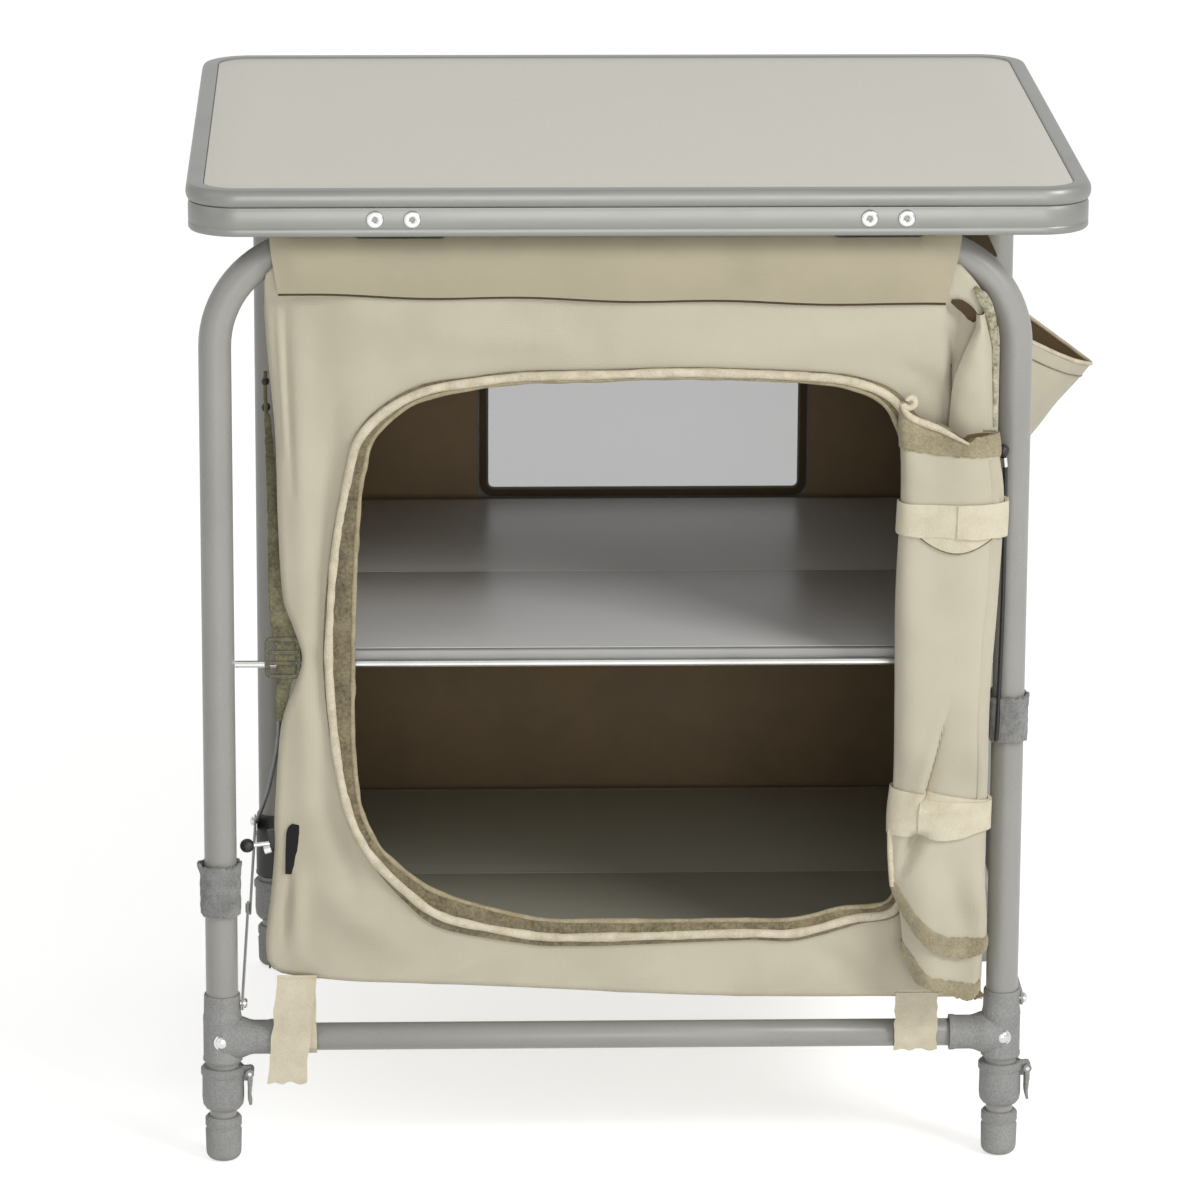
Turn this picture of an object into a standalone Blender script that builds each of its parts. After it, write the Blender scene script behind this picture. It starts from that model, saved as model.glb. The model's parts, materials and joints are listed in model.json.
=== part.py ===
"""Folding camp shelf: a fabric cupboard hung between two tube frames, under a rimmed table top.

Metres, +Z up, +Y away from the door. The two U-shaped frames stand one behind the other and are
tied by two-link side stays. Each board is split across its middle, with its hinge lines in the same
planes as the stays' pins, so stays, boards and front frame fold together by one angle.
"""

import math

import bmesh
import bpy
from mathutils import Matrix, Vector

# Driving dimensions
CLEAR = 0.0003              # gap that two touching pieces keep
TOP_WIDTH = 0.600
TOP_DEPTH = 0.500
HEIGHT = 0.686
CORNER_R = 0.035            # plan corner of the table top

RIM_HEIGHT = 0.031
RIM_BEAD = 0.012            # height of the upper bead
RIM_STEP = 0.0015           # how far the bead stands proud of the skirt
RIM_LIP = 0.012             # rim seen from above
RIM_WALL = 0.0045           # skirt wall
LEDGE_WIDTH = 0.010
LEDGE_THICK = 0.003
BOARD_SINK = 0.0008         # table board below the rim

TUBE_R = 0.011
TUBE_WALL = 0.0012
FRAME_HALF = 0.2675         # half the distance between one frame's legs
FRAME_SHIFT = 0.0145        # each frame sits this far off centre, so that legs pass side by side
FRAME_INSET = 0.040         # frame planes inside the table top's front and rear faces
BEND_R = 0.070
BEND_STEPS = 7

RAIL_R = 0.0095
RAIL_WALL = 0.0012
RAIL_Z = 0.0875
TEE_R = 0.0130
TEE_HEIGHT = 0.034
TEE_ARM = 0.034             # from the leg's axis to the arm's mouth
TEE_ARM_R = 0.0122
TEE_RIVET_R = 0.0020
TEE_RIVET_HEAD_R = 0.0048

FOOT_TUBE_R = 0.0093
FOOT_TUBE_WALL = 0.0012
FOOT_TUBE_TOP = 0.081
BOOT_R = 0.0125
BOOT_HEIGHT = 0.0313
BOOT_SOLE = 0.005
LEG_END_Z = 0.048
COLLAR_R = 0.0150
COLLAR_LOW = 0.0364
COLLAR_HIGH = 0.0670

LEVER_PIVOT_OUT = 0.0185    # lever pin, outward from the leg's axis
LEVER_PIVOT_Z = 0.0625
LEVER_LENGTH = 0.023
LEVER_WIDTH = 0.013
LEVER_THICK = 0.0035
LUG_WIDTH = 0.0045
LEVER_PIN_R = 0.0014

STAY_Z = 0.112
STAY_THICK = 0.0014
STAY_HEIGHT = 0.010
STAY_GAP = 0.0002           # between the two links of a stay
STAY_PIN_R = 0.0020
STAY_HEAD = 0.0008
STAY_NECK_WALL = 0.0014     # tee's neck round the leg at the stay's pin
STAY_NECK_RISE = 0.007

BOARD_HALF_WIDTH = 0.230
BOARD_THICK = 0.0085
SHELF_HINGE_Z = 0.353
FLOOR_HINGE_Z = 0.129
CARRIER_R = 0.0025          # rods that carry the boards' ends
KNUCKLE_R = 0.0012          # pin of the board's middle hinge
HINGE_SLACK = 0.0005        # between a hinge rod and the board's end

FABRIC = 0.0012
PANEL = 0.0015              # front and rear walls, two layers
PANEL_OFF = 0.0012          # wall's inner face from the tube
CABINET_HALF = 0.2365       # inner faces of the side walls
CABINET_FLOOR_Z = 0.1205
PANEL_WIDE = 0.246          # wall's wide side, away from the middle
PANEL_NARROW = 0.239
VALANCE_DROP = 0.0350       # valance's lower edge below the tube axis
SLEEVE_DROP = 0.0250        # rear sleeve's lower edge below the tube axis
SLEEVE_BACK = 0.0080        # sleeve's inner edge below the tube axis
SLEEVE_SHORT = 0.024        # sleeve ends this far inside the wall's narrow side, where the tube bends

DOOR_LEFT = -0.189
DOOR_RIGHT = 0.178
DOOR_BOTTOM = 0.178
DOOR_TOP_DROP = 0.1370      # doorway's upper edge below the table's top
DOOR_R = 0.085
ZIP_WIDTH = 0.014
ZIP_THICK = 0.0020
WINDOW_LEFT = -0.092
WINDOW_RIGHT = 0.137
WINDOW_DROP = 0.121         # window's upper edge below the table's top
WINDOW_HEIGHT = 0.199
WINDOW_R = 0.010
NET_THICK = 0.0006          # net sewn inside the window
NET_SEAM = 0.008            # how far the net laps over the window's edge

ROLL_X = 0.2100             # rolled door: centre, half width, half depth and ends
ROLL_HALF_WIDTH = 0.0340
ROLL_HALF_DEPTH = 0.0155
ROLL_BOTTOM = 0.114
ROLL_TOP_DROP = 0.170       # its upper end below the table's top
ROLL_STRAP_Z = (0.454, 0.244)
ROLL_STRAP_HEIGHT = 0.029
STRAP = 0.0012

LEG_STRAP_Z = (0.195, 0.314)
LEG_STRAP_HEIGHT = (0.035, 0.031)
HOLD_STRAP_X = (-0.231, 0.193)
HOLD_STRAP_WIDTH = 0.031
HOLD_TAIL = (0.0245, 0.0045)  # how far each strap's loose end hangs under the rail

CLIP_X = 0.1590             # table brackets, either side of the middle
CLIP_WIDTH = 0.046
CLIP_PLATE = 0.0018
CLIP_SPAN = 0.058           # gap left for a bracket in the fabric
CLIP_LIP_RISE = 0.0080      # front lip's end above the tube axis
RIM_RIVET_X = (0.1505, 0.1750)
RIM_RIVET_DROP = 0.0195     # rivets below the table's top
RIM_RIVET_HEAD_R = 0.0062
RIM_RIVET_R = 0.0030
RIM_RIVET_BORE = 0.0019
RIM_RIVET_HEAD = 0.0011

POCKET_REACH = 0.320        # furthest point of the side pocket
POCKET_HALF = 0.125         # half its length along the wall
POCKET_DROP = 0.1205        # its wall edge below the table's top
POCKET_LIP_DROP = 0.0355    # its outer edge below its wall edge
POCKET_HEIGHT = 0.1505
POCKET_FOOT = 0.012         # its base stands this far off the wall

# Places that follow from them
FRAME_Y = TOP_DEPTH / 2 - FRAME_INSET
DOOR_TOP = HEIGHT - DOOR_TOP_DROP
WINDOW_TOP = HEIGHT - WINDOW_DROP
WINDOW_BOTTOM = WINDOW_TOP - WINDOW_HEIGHT
ROLL_TOP = HEIGHT - ROLL_TOP_DROP
POCKET_TOP = HEIGHT - POCKET_DROP
POCKET_LIP = POCKET_TOP - POCKET_LIP_DROP
POCKET_BOTTOM = POCKET_TOP - POCKET_HEIGHT
RIM_BOTTOM = HEIGHT - RIM_HEIGHT
TUBE_Z = RIM_BOTTOM - 2 * CLEAR - FABRIC - TUBE_R
TUBE_BORE = TUBE_R - TUBE_WALL
PANEL_IN = FRAME_Y + TUBE_R + PANEL_OFF
PANEL_OUT = PANEL_IN + PANEL
VALANCE_MID = PANEL_OUT + CLEAR + FABRIC / 2
PANEL_TOP = TUBE_Z - TUBE_R - 2 * CLEAR
ROOF_TOP = TUBE_Z - TUBE_R - CLEAR
ROOF_REACH_Y = FRAME_Y - TUBE_R - 2 * CLEAR
LEDGE_Z = HEIGHT - BOARD_SINK - BOARD_THICK - CLEAR
SKIRT_IN_Y = TOP_DEPTH / 2 - RIM_STEP - RIM_WALL
STAY_PLANE = FRAME_HALF
STAY_NECK_R = TUBE_R + CLEAR + STAY_NECK_WALL
ZIP_OUT = PANEL_OUT + CLEAR + ZIP_THICK
ROLL_Y = -(ZIP_OUT + 2 * STRAP + CLEAR * 4 + ROLL_HALF_DEPTH)
ROLL_FRONT = ROLL_Y - ROLL_HALF_DEPTH - CLEAR * 2 - STRAP
LEFT, RIGHT = -1, 1
FRONT, REAR = -1, 1
SIDES = ((LEFT, "left"), (RIGHT, "right"))
CENTRE_SHIFT = Vector(((TOP_WIDTH / 2 - POCKET_REACH) / 2, (-ROLL_FRONT - TOP_DEPTH / 2) / 2, 0))


def leg_x(frame, side):
    """Leg axis: the front frame is shifted to the left, the rear one to the right."""
    return side * FRAME_HALF + frame * FRAME_SHIFT


# Scene helpers

def clear_scene():
    for obj in list(bpy.data.objects):
        bpy.data.objects.remove(obj, do_unlink=True)


def collection(name):
    made = bpy.data.collections.new(name)
    bpy.context.scene.collection.children.link(made)
    return made


def material(name, colour, roughness, metallic=0.0):
    """Colour is sRGB from 0 to 1."""
    mat = bpy.data.materials.new(name)
    mat.use_nodes = True
    shader = mat.node_tree.nodes["Principled BSDF"]
    linear = [c / 12.92 if c <= 0.04045 else ((c + 0.055) / 1.055) ** 2.4 for c in colour]
    shader.inputs["Base Color"].default_value = (*linear, 1)
    shader.inputs["Roughness"].default_value = roughness
    shader.inputs["Metallic"].default_value = metallic
    mat.diffuse_color = (*linear, 1)
    return mat


clear_scene()
PARTS = collection("folding_camp_shelf")
CUTTERS = collection("cutters")

PAINT = material("grey_frame_paint", (0.62, 0.61, 0.60), 0.38, 0.4)
RIM_METAL = material("rim_aluminium", (0.66, 0.66, 0.66), 0.35, 0.7)
TABLE_SKIN = material("table_laminate", (0.75, 0.74, 0.68), 0.42)
CANVAS = material("beige_canvas", (0.80, 0.76, 0.67), 0.9)
NET = material("grey_window_net", (0.42, 0.42, 0.42), 0.8)
TRIM = material("olive_binding", (0.56, 0.52, 0.41), 0.95)
WEBBING = material("beige_webbing", (0.82, 0.78, 0.69), 0.9)
GREY_TAPE = material("grey_hook_tape", (0.42, 0.42, 0.41), 0.95)
GREY_PLASTIC = material("grey_plastic", (0.50, 0.50, 0.49), 0.6)
BLACK_PLASTIC = material("black_plastic", (0.07, 0.07, 0.07), 0.5)
RUBBER = material("grey_rubber", (0.55, 0.55, 0.54), 0.75)
BOARD_SKIN = material("grey_board", (0.55, 0.55, 0.56), 0.35, 0.3)
STEEL = material("plated_steel", (0.80, 0.80, 0.80), 0.25, 1.0)


def empty(name, location, parent=None):
    made = bpy.data.objects.new(name, None)
    made.location = location
    made.parent = parent
    PARTS.objects.link(made)
    return made


# Body empties stand on their joints' axes, all under one that centres the shelf on its floor area
SHELF = empty("shelf_frame", CENTRE_SHIFT)
TOP_AXIS = Vector((0, FRAME_Y, TUBE_Z))
BODY = {"rear_frame": empty("rear_frame", (0, 0, 0), SHELF), "table_top": empty("table_top", TOP_AXIS, SHELF)}
for side, word in SIDES:
    BODY[f"{word}_rear_stay"] = empty(f"{word}_rear_stay", (side * STAY_PLANE, FRAME_Y, STAY_Z), SHELF)
    BODY[f"{word}_front_stay"] = empty(f"{word}_front_stay", (side * STAY_PLANE, 0, STAY_Z), SHELF)
BODY["front_frame"] = empty("front_frame", (-STAY_PLANE, -FRAME_Y, STAY_Z), SHELF)
for level, hinge_z in (("shelf", SHELF_HINGE_Z), ("floor", FLOOR_HINGE_Z)):
    BODY[f"{level}_rear"] = empty(f"{level}_rear", (0, FRAME_Y, hinge_z), SHELF)
    BODY[f"{level}_front"] = empty(f"{level}_front", (0, 0, hinge_z), SHELF)
CORNERS = [(frame, side, f"{'front' if frame < 0 else 'rear'}_{'left' if side < 0 else 'right'}")
           for frame in (FRONT, REAR) for side in (LEFT, RIGHT)]
for frame, side, word in CORNERS:
    place = Vector((leg_x(frame, side), frame * FRAME_Y, 0))
    BODY[f"{word}_foot"] = empty(f"{word}_foot", place, SHELF)
    BODY[f"{word}_lever"] = empty(f"{word}_lever", place + Vector((LEVER_PIVOT_OUT, 0, LEVER_PIVOT_Z)), SHELF)


def add(name, mesh, mat, body, location=(0, 0, 0), rotation=(0, 0, 0)):
    """Link a mesh as a piece of one body; location is in the shelf's own frame."""
    made = bpy.data.objects.new(name, mesh)
    made.location = location
    made.rotation_euler = rotation
    made.parent = BODY[body]
    made.matrix_parent_inverse = Matrix.Translation(-BODY[body].location)
    made.data.materials.clear()
    made.data.materials.append(mat)
    PARTS.objects.link(made)
    return made


def as_cutter(obj):
    PARTS.objects.unlink(obj)
    CUTTERS.objects.link(obj)
    obj.hide_render = True
    obj.display_type = "WIRE"
    return obj


def boolean(obj, tool, operation="DIFFERENCE"):
    as_cutter(tool)
    step = obj.modifiers.new(operation.lower(), "BOOLEAN")
    step.operation = operation
    step.object = tool
    return obj


def smooth(obj, angle=35):
    obj.data.shade_smooth()
    obj.data.set_sharp_from_angle(angle=math.radians(angle))
    return obj


# Shape helpers

def box_mesh(size, round_z=0.0, segments=5):
    """Box about its origin, its four upright edges rounded where round_z is given."""
    bm = bmesh.new()
    bmesh.ops.create_cube(bm, size=1)
    bmesh.ops.scale(bm, vec=Vector(size), verts=bm.verts)
    if round_z:
        upright = [e for e in bm.edges if abs(e.verts[0].co.z - e.verts[1].co.z) > size[2] / 2]
        bmesh.ops.bevel(bm, geom=upright, offset=round_z, segments=segments, profile=0.5, affect="EDGES")
    mesh = bpy.data.meshes.new("box")
    bm.to_mesh(mesh)
    bm.free()
    return mesh


def box(name, low, high, mat, body, round_z=0.0, segments=5):
    """Box between two corners of the shelf's frame."""
    low, high = Vector(low), Vector(high)
    return add(name, box_mesh(high - low, round_z, segments), mat, body, (low + high) / 2)


def slab_y(name, x0, x1, z0, z1, y0, y1, radius, mat, body, segments=6):
    """Plate that stands square to Y, with its four corners rounded."""
    mesh = box_mesh((x1 - x0, z1 - z0, y1 - y0), radius, segments)
    middle = ((x0 + x1) / 2, (y0 + y1) / 2, (z0 + z1) / 2)
    return add(name, mesh, mat, body, middle, (math.radians(90), 0, 0))


def turned(name, profile, mat, body, location=(0, 0, 0), rotation=(0, 0, 0), steps=20, closed=True):
    """Screw a profile of (radius, height) points that runs down its outer side."""
    bm = bmesh.new()
    verts = [bm.verts.new((r, 0, z)) for r, z in profile]
    for a, b in zip(verts, verts[1:]):
        bm.edges.new((a, b))
    if closed:
        bm.edges.new((verts[-1], verts[0]))
    mesh = bpy.data.meshes.new(name)
    bm.to_mesh(mesh)
    bm.free()
    made = add(name, mesh, mat, body, location, rotation)
    screw = made.modifiers.new("screw", "SCREW")
    screw.steps = steps
    screw.render_steps = steps
    screw.use_merge_vertices = True
    screw.merge_threshold = 0.00001
    return made


def sleeve_profile(outer, inner, low, high):
    return [(outer, high), (outer, low), (inner, low), (inner, high)]


def rod(name, radius, a, b, mat, body, steps=16):
    """Solid cylinder between two points."""
    a, b = Vector(a), Vector(b)
    bm = bmesh.new()
    bmesh.ops.create_cone(bm, cap_ends=True, segments=steps, radius1=radius, radius2=radius, depth=(b - a).length)
    mesh = bpy.data.meshes.new(name)
    bm.to_mesh(mesh)
    bm.free()
    turn = (b - a).to_track_quat("Z", "Y").to_euler()
    return smooth(add(name, mesh, mat, body, (a + b) / 2, turn))


def bent_tube(name, points, radius, mat, body, resolution=4):
    """Curve with a round bevel, made a mesh with its caps welded."""
    curve = bpy.data.curves.new(name, "CURVE")
    curve.dimensions = "3D"
    curve.bevel_depth = radius
    curve.bevel_resolution = resolution
    curve.use_fill_caps = True
    spline = curve.splines.new("POLY")
    spline.points.add(len(points) - 1)
    for point, co in zip(spline.points, points):
        point.co = (*co, 1)
    source = bpy.data.objects.new(name + "_curve", curve)
    PARTS.objects.link(source)
    graph = bpy.context.evaluated_depsgraph_get()
    mesh = bpy.data.meshes.new_from_object(source.evaluated_get(graph))
    bpy.data.objects.remove(source)
    bpy.data.curves.remove(curve)
    bm = bmesh.new()
    bm.from_mesh(mesh)
    bmesh.ops.remove_doubles(bm, verts=bm.verts, dist=0.00001)
    bm.to_mesh(mesh)
    bm.free()
    return smooth(add(name, mesh, mat, body))


def ribbon(name, route, across, thickness, mat, body):
    """Strip or bent plate: a route of points carried sideways, then given its thickness."""
    bm = bmesh.new()
    across = Vector(across)
    rows = [(bm.verts.new(Vector(p) - across / 2), bm.verts.new(Vector(p) + across / 2)) for p in route]
    for (a, b), (c, d) in zip(rows, rows[1:]):
        bm.faces.new((a, b, d, c))
    mesh = bpy.data.meshes.new(name)
    bm.to_mesh(mesh)
    bm.free()
    made = add(name, mesh, mat, body)
    wall = made.modifiers.new("wall", "SOLIDIFY")
    wall.thickness = thickness
    wall.offset = 0
    wall.use_even_offset = True
    return made


def loft(name, rings, mat, body):
    """Closed skin over rings of equal counts, each end closed by one face."""
    bm = bmesh.new()
    rows = [[bm.verts.new(p) for p in ring] for ring in rings]
    count = len(rows[0])
    for low, high in zip(rows, rows[1:]):
        for i in range(count):
            j = (i + 1) % count
            bm.faces.new((low[i], low[j], high[j], high[i]))
    bm.faces.new(list(reversed(rows[0])))
    bm.faces.new(rows[-1])
    bmesh.ops.recalc_face_normals(bm, faces=bm.faces)
    mesh = bpy.data.meshes.new(name)
    bm.to_mesh(mesh)
    bm.free()
    return smooth(add(name, mesh, mat, body), 60)


def arc(centre, radius, start, stop, steps):
    """Points of a plane arc, angles in degrees."""
    turn = [math.radians(start + (stop - start) * i / steps) for i in range(steps + 1)]
    return [(centre[0] + radius * math.cos(t), centre[1] + radius * math.sin(t)) for t in turn]


# Table top

def table_rim():
    half = Vector((TOP_WIDTH / 2, TOP_DEPTH / 2))
    bead = box("table_rim", (-half.x, -half.y, HEIGHT - RIM_BEAD), (half.x, half.y, HEIGHT),
               RIM_METAL, "table_top", CORNER_R)
    edge = bead.modifiers.new("edge", "BEVEL")
    edge.width = 0.0022
    edge.segments = 2
    edge.limit_method = "ANGLE"
    edge.angle_limit = math.radians(60)
    skirt = half - Vector((RIM_STEP, RIM_STEP))
    boolean(bead, box("skirt", (-skirt.x, -skirt.y, RIM_BOTTOM), (skirt.x, skirt.y, HEIGHT - RIM_BEAD / 2),
                      RIM_METAL, "table_top", CORNER_R - RIM_STEP), "UNION")
    seat = half - Vector((RIM_LIP, RIM_LIP))
    boolean(bead, box("seat", (-seat.x, -seat.y, LEDGE_Z), (seat.x, seat.y, HEIGHT + RIM_LIP),
                      RIM_METAL, "table_top", CORNER_R - RIM_LIP))
    inner = skirt - Vector((RIM_WALL, RIM_WALL))
    boolean(bead, box("hollow", (-inner.x, -inner.y, RIM_BOTTOM - RIM_LIP), (inner.x, inner.y, LEDGE_Z - LEDGE_THICK),
                      RIM_METAL, "table_top", CORNER_R - RIM_STEP - RIM_WALL))
    hole = seat - Vector((LEDGE_WIDTH, LEDGE_WIDTH))
    boolean(bead, box("opening", (-hole.x, -hole.y, RIM_BOTTOM), (hole.x, hole.y, HEIGHT),
                      RIM_METAL, "table_top", CORNER_R - RIM_LIP - LEDGE_WIDTH))
    for x in (-RIM_RIVET_X[1], -RIM_RIVET_X[0], *RIM_RIVET_X):
        z = HEIGHT - RIM_RIVET_DROP
        boolean(bead, rod("rivet_hole", RIM_RIVET_R + CLEAR, (x, -TOP_DEPTH, z), (x, 0, z),
                          RIM_METAL, "table_top", 12))
    return bead


def table_board():
    reach = Vector((TOP_WIDTH / 2 - RIM_LIP - CLEAR, TOP_DEPTH / 2 - RIM_LIP - CLEAR))
    return box("table_board", (-reach.x, -reach.y, LEDGE_Z + CLEAR), (reach.x, reach.y, HEIGHT - BOARD_SINK),
               TABLE_SKIN, "table_top", CORNER_R - RIM_LIP - CLEAR)


def table_brackets():
    """Front brackets stop the top against the tube; rear clips go round the tube and hinge on it."""
    flange_y = SKIRT_IN_Y - CLEAR - CLIP_PLATE / 2
    flange_z = LEDGE_Z - LEDGE_THICK - CLEAR - CLIP_PLATE / 2
    lip_y = FRAME_Y + math.sqrt(TUBE_R ** 2 - CLIP_LIP_RISE ** 2) + CLEAR * 2 + CLIP_PLATE / 2
    ring_r = TUBE_R + CLEAR + CLIP_PLATE / 2
    ring = [(FRAME_Y + ring_r * math.cos(math.radians(a)), TUBE_Z + ring_r * math.sin(math.radians(a)))
            for a in range(90, 421, 22)]
    foot = [(flange_y, RIM_BOTTOM + RIM_STEP), (flange_y, flange_z)]
    front_route = [*foot, (lip_y, flange_z), (lip_y, TUBE_Z + CLIP_LIP_RISE)]
    rear_route = [*foot, (FRAME_Y, flange_z), *ring]
    for side, word in SIDES:
        x = side * CLIP_X
        ribbon(f"{word}_front_bracket", [(x, -y, z) for y, z in front_route], (CLIP_WIDTH, 0, 0),
               CLIP_PLATE, PAINT, "table_top")
        ribbon(f"{word}_hinge_clip", [(x, y, z) for y, z in rear_route], (CLIP_WIDTH, 0, 0),
               CLIP_PLATE, PAINT, "table_top")


def rim_rivets():
    """Tubular rivets, head outside the skirt and shank in its wall."""
    skirt = TOP_DEPTH / 2 - RIM_STEP
    depth = RIM_WALL - CLEAR
    profile = [(RIM_RIVET_BORE, RIM_RIVET_HEAD + CLEAR), (RIM_RIVET_HEAD_R * 0.8, RIM_RIVET_HEAD + CLEAR),
               (RIM_RIVET_HEAD_R, RIM_RIVET_HEAD / 2 + CLEAR), (RIM_RIVET_HEAD_R, CLEAR), (RIM_RIVET_R, CLEAR),
               (RIM_RIVET_R, -depth), (RIM_RIVET_BORE, -depth)]
    places = (-RIM_RIVET_X[1], -RIM_RIVET_X[0], *RIM_RIVET_X)
    for count, x in enumerate(places, 1):
        smooth(turned(f"rim_rivet_{count}", profile, STEEL, "table_top",
                      (x, -skirt, HEIGHT - RIM_RIVET_DROP), (math.radians(90), 0, 0), 14))


# Frames

def frame_name(frame):
    return "front" if frame < 0 else "rear"


def u_frame(frame):
    """Legs and top tube in one bent tube, hollow, drilled for the tee rivets."""
    body = f"{frame_name(frame)}_frame"
    y = frame * FRAME_Y
    left, right = leg_x(frame, LEFT), leg_x(frame, RIGHT)
    bend_z = TUBE_Z - BEND_R
    path = [(left, LEG_END_Z), *arc((left + BEND_R, bend_z), BEND_R, 180, 90, BEND_STEPS),
            *arc((right - BEND_R, bend_z), BEND_R, 90, 0, BEND_STEPS), (right, LEG_END_Z)]
    tube = bent_tube(f"{frame_name(frame)}_u_tube", [(x, y, z) for x, z in path], TUBE_R, PAINT, body)
    bore = [(left, LEG_END_Z - TUBE_R), *path[1:-1], (right, LEG_END_Z - TUBE_R)]
    boolean(tube, bent_tube("bore", [(x, y, z) for x, z in bore], TUBE_BORE, PAINT, body))
    for x in (left, right) if frame < 0 else ():
        boolean(tube, tee_drill(x, y, body))
    return tube


def tee_drill(x, y, body):
    reach = TEE_R * 2
    return rod("drill", TEE_RIVET_R + CLEAR, (x, y - reach, RAIL_Z), (x, y + reach, RAIL_Z), STEEL, body, 10)


def tee(frame, side, word):
    """Moulded tee: a collar on the leg, an arm that takes the rail's end and a pin for the stay."""
    body = f"{frame_name(frame)}_frame"
    x, y = leg_x(frame, side), frame * FRAME_Y
    toward = 1 if side * STAY_PLANE > x else -1
    plastic = GREY_PLASTIC if frame < 0 else BLACK_PLASTIC
    collar = rod(f"{word}_tee", TEE_R, (x, y, RAIL_Z - TEE_HEIGHT / 2), (x, y, RAIL_Z + TEE_HEIGHT / 2),
                 plastic, body, 20)
    boolean(collar, rod("neck", STAY_NECK_R, (x, y, RAIL_Z), (x, y, STAY_Z + STAY_NECK_RISE), plastic, body, 20),
            "UNION")
    boolean(collar, rod("arm", TEE_ARM_R, (x, y, RAIL_Z), (x - side * TEE_ARM, y, RAIL_Z), plastic, body, 18),
            "UNION")
    boolean(collar, rod("leg_bore", TUBE_R + CLEAR, (x, y, 0), (x, y, STAY_Z * 2), plastic, body, 20))
    boolean(collar, rod("rail_bore", RAIL_R + CLEAR, (x - side * TUBE_R, y, RAIL_Z),
                        (x - side * TEE_ARM * 2, y, RAIL_Z), plastic, body, 18))
    reach = side * STAY_PLANE + toward * (STAY_THICK + STAY_GAP / 2 + CLEAR)
    root = x + toward * (TUBE_R + STAY_NECK_R) / 2
    boolean(collar, rod("pin", STAY_PIN_R, (root + toward * CLEAR, y, STAY_Z), (reach, y, STAY_Z), STEEL, body, 12),
            "UNION")
    return boolean(collar, tee_drill(x, y, body)) if frame < 0 else collar


def tee_rivet(side, word):
    """Domed rivet right through the front tee and leg."""
    head = TEE_R + CLEAR
    crown = TEE_RIVET_HEAD_R * 0.45
    half = [(TEE_RIVET_HEAD_R * 0.55, head + crown), (TEE_RIVET_HEAD_R, head + crown * 0.4),
            (TEE_RIVET_HEAD_R, head), (TEE_RIVET_R, head)]
    profile = [(0, head + crown), *half, *[(r, -z) for r, z in reversed(half)], (0, -head - crown)]
    return smooth(turned(f"{word}_tee_rivet", profile, STEEL, "front_frame", (leg_x(FRONT, side), -FRAME_Y, RAIL_Z),
                         (math.radians(90), 0, 0), 14, closed=False))


def rail(frame):
    y = frame * FRAME_Y
    gap = TUBE_R + CLEAR * 4
    left, right = leg_x(frame, LEFT) + gap, leg_x(frame, RIGHT) - gap
    half = (right - left) / 2
    return smooth(turned(f"{frame_name(frame)}_rail", sleeve_profile(RAIL_R, RAIL_R - RAIL_WALL, -half, half),
                         PAINT, f"{frame_name(frame)}_frame", ((left + right) / 2, y, RAIL_Z),
                         (0, math.radians(90), 0), 16))


def clamp_collar(frame, side, word):
    """Clamp collar: upper bore on the leg, lower bore on the foot tube, and a lug for the lever."""
    body = f"{frame_name(frame)}_frame"
    x, y = leg_x(frame, side), frame * FRAME_Y
    profile = [(COLLAR_R - 0.001, COLLAR_HIGH), (COLLAR_R, COLLAR_HIGH - 0.002), (COLLAR_R, COLLAR_LOW + 0.008),
               (COLLAR_R - 0.002, COLLAR_LOW), (FOOT_TUBE_R + CLEAR, COLLAR_LOW),
               (FOOT_TUBE_R + CLEAR, LEG_END_Z - CLEAR), (TUBE_R + CLEAR, LEG_END_Z - CLEAR),
               (TUBE_R + CLEAR, COLLAR_HIGH)]
    collar = turned(f"{word}_clamp_collar", profile, GREY_PLASTIC, body, (x, y, 0), steps=20)
    pivot_x = x + LEVER_PIVOT_OUT
    lug = box("lug", (x + TUBE_R + STAY_NECK_WALL, y - LUG_WIDTH / 2, LEVER_PIVOT_Z - LUG_WIDTH),
              (pivot_x + LEVER_PIN_R, y + LUG_WIDTH / 2, LEVER_PIVOT_Z + LEVER_PIN_R * 2), GREY_PLASTIC, body)
    boolean(collar, lug, "UNION")
    pin_reach = LEVER_WIDTH / 2
    return boolean(collar, rod("lever_pin", LEVER_PIN_R, (pivot_x, y - pin_reach, LEVER_PIVOT_Z),
                               (pivot_x, y + pin_reach, LEVER_PIVOT_Z), STEEL, body, 10), "UNION")


def lever(frame, side, word):
    """Cam lever that hangs beside its collar, forked round the lug."""
    x, y = leg_x(frame, side) + LEVER_PIVOT_OUT, frame * FRAME_Y
    body = f"{word}_lever"
    head = LEVER_PIN_R + 0.0016
    plate = box(f"{word}_clamp_lever", (x - LEVER_THICK / 2, y - LEVER_WIDTH / 2, LEVER_PIVOT_Z - LEVER_LENGTH),
                (x + LEVER_THICK / 2, y + LEVER_WIDTH / 2, LEVER_PIVOT_Z), BLACK_PLASTIC, body)
    boolean(plate, rod("knuckle", head, (x, y - LEVER_WIDTH / 2 + CLEAR, LEVER_PIVOT_Z),
                       (x, y + LEVER_WIDTH / 2 - CLEAR, LEVER_PIVOT_Z), BLACK_PLASTIC, body, 14), "UNION")
    fork = LUG_WIDTH / 2 + CLEAR
    boolean(plate, box("fork", (x - LEVER_LENGTH, y - fork, LEVER_PIVOT_Z - 0.0065),
                       (x + LEVER_LENGTH, y + fork, LEVER_PIVOT_Z + LEVER_LENGTH), BLACK_PLASTIC, body))
    boolean(plate, rod("bore", LEVER_PIN_R + CLEAR, (x, y - LEVER_WIDTH, LEVER_PIVOT_Z),
                       (x, y + LEVER_WIDTH, LEVER_PIVOT_Z), BLACK_PLASTIC, body, 10))
    return plate


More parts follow.
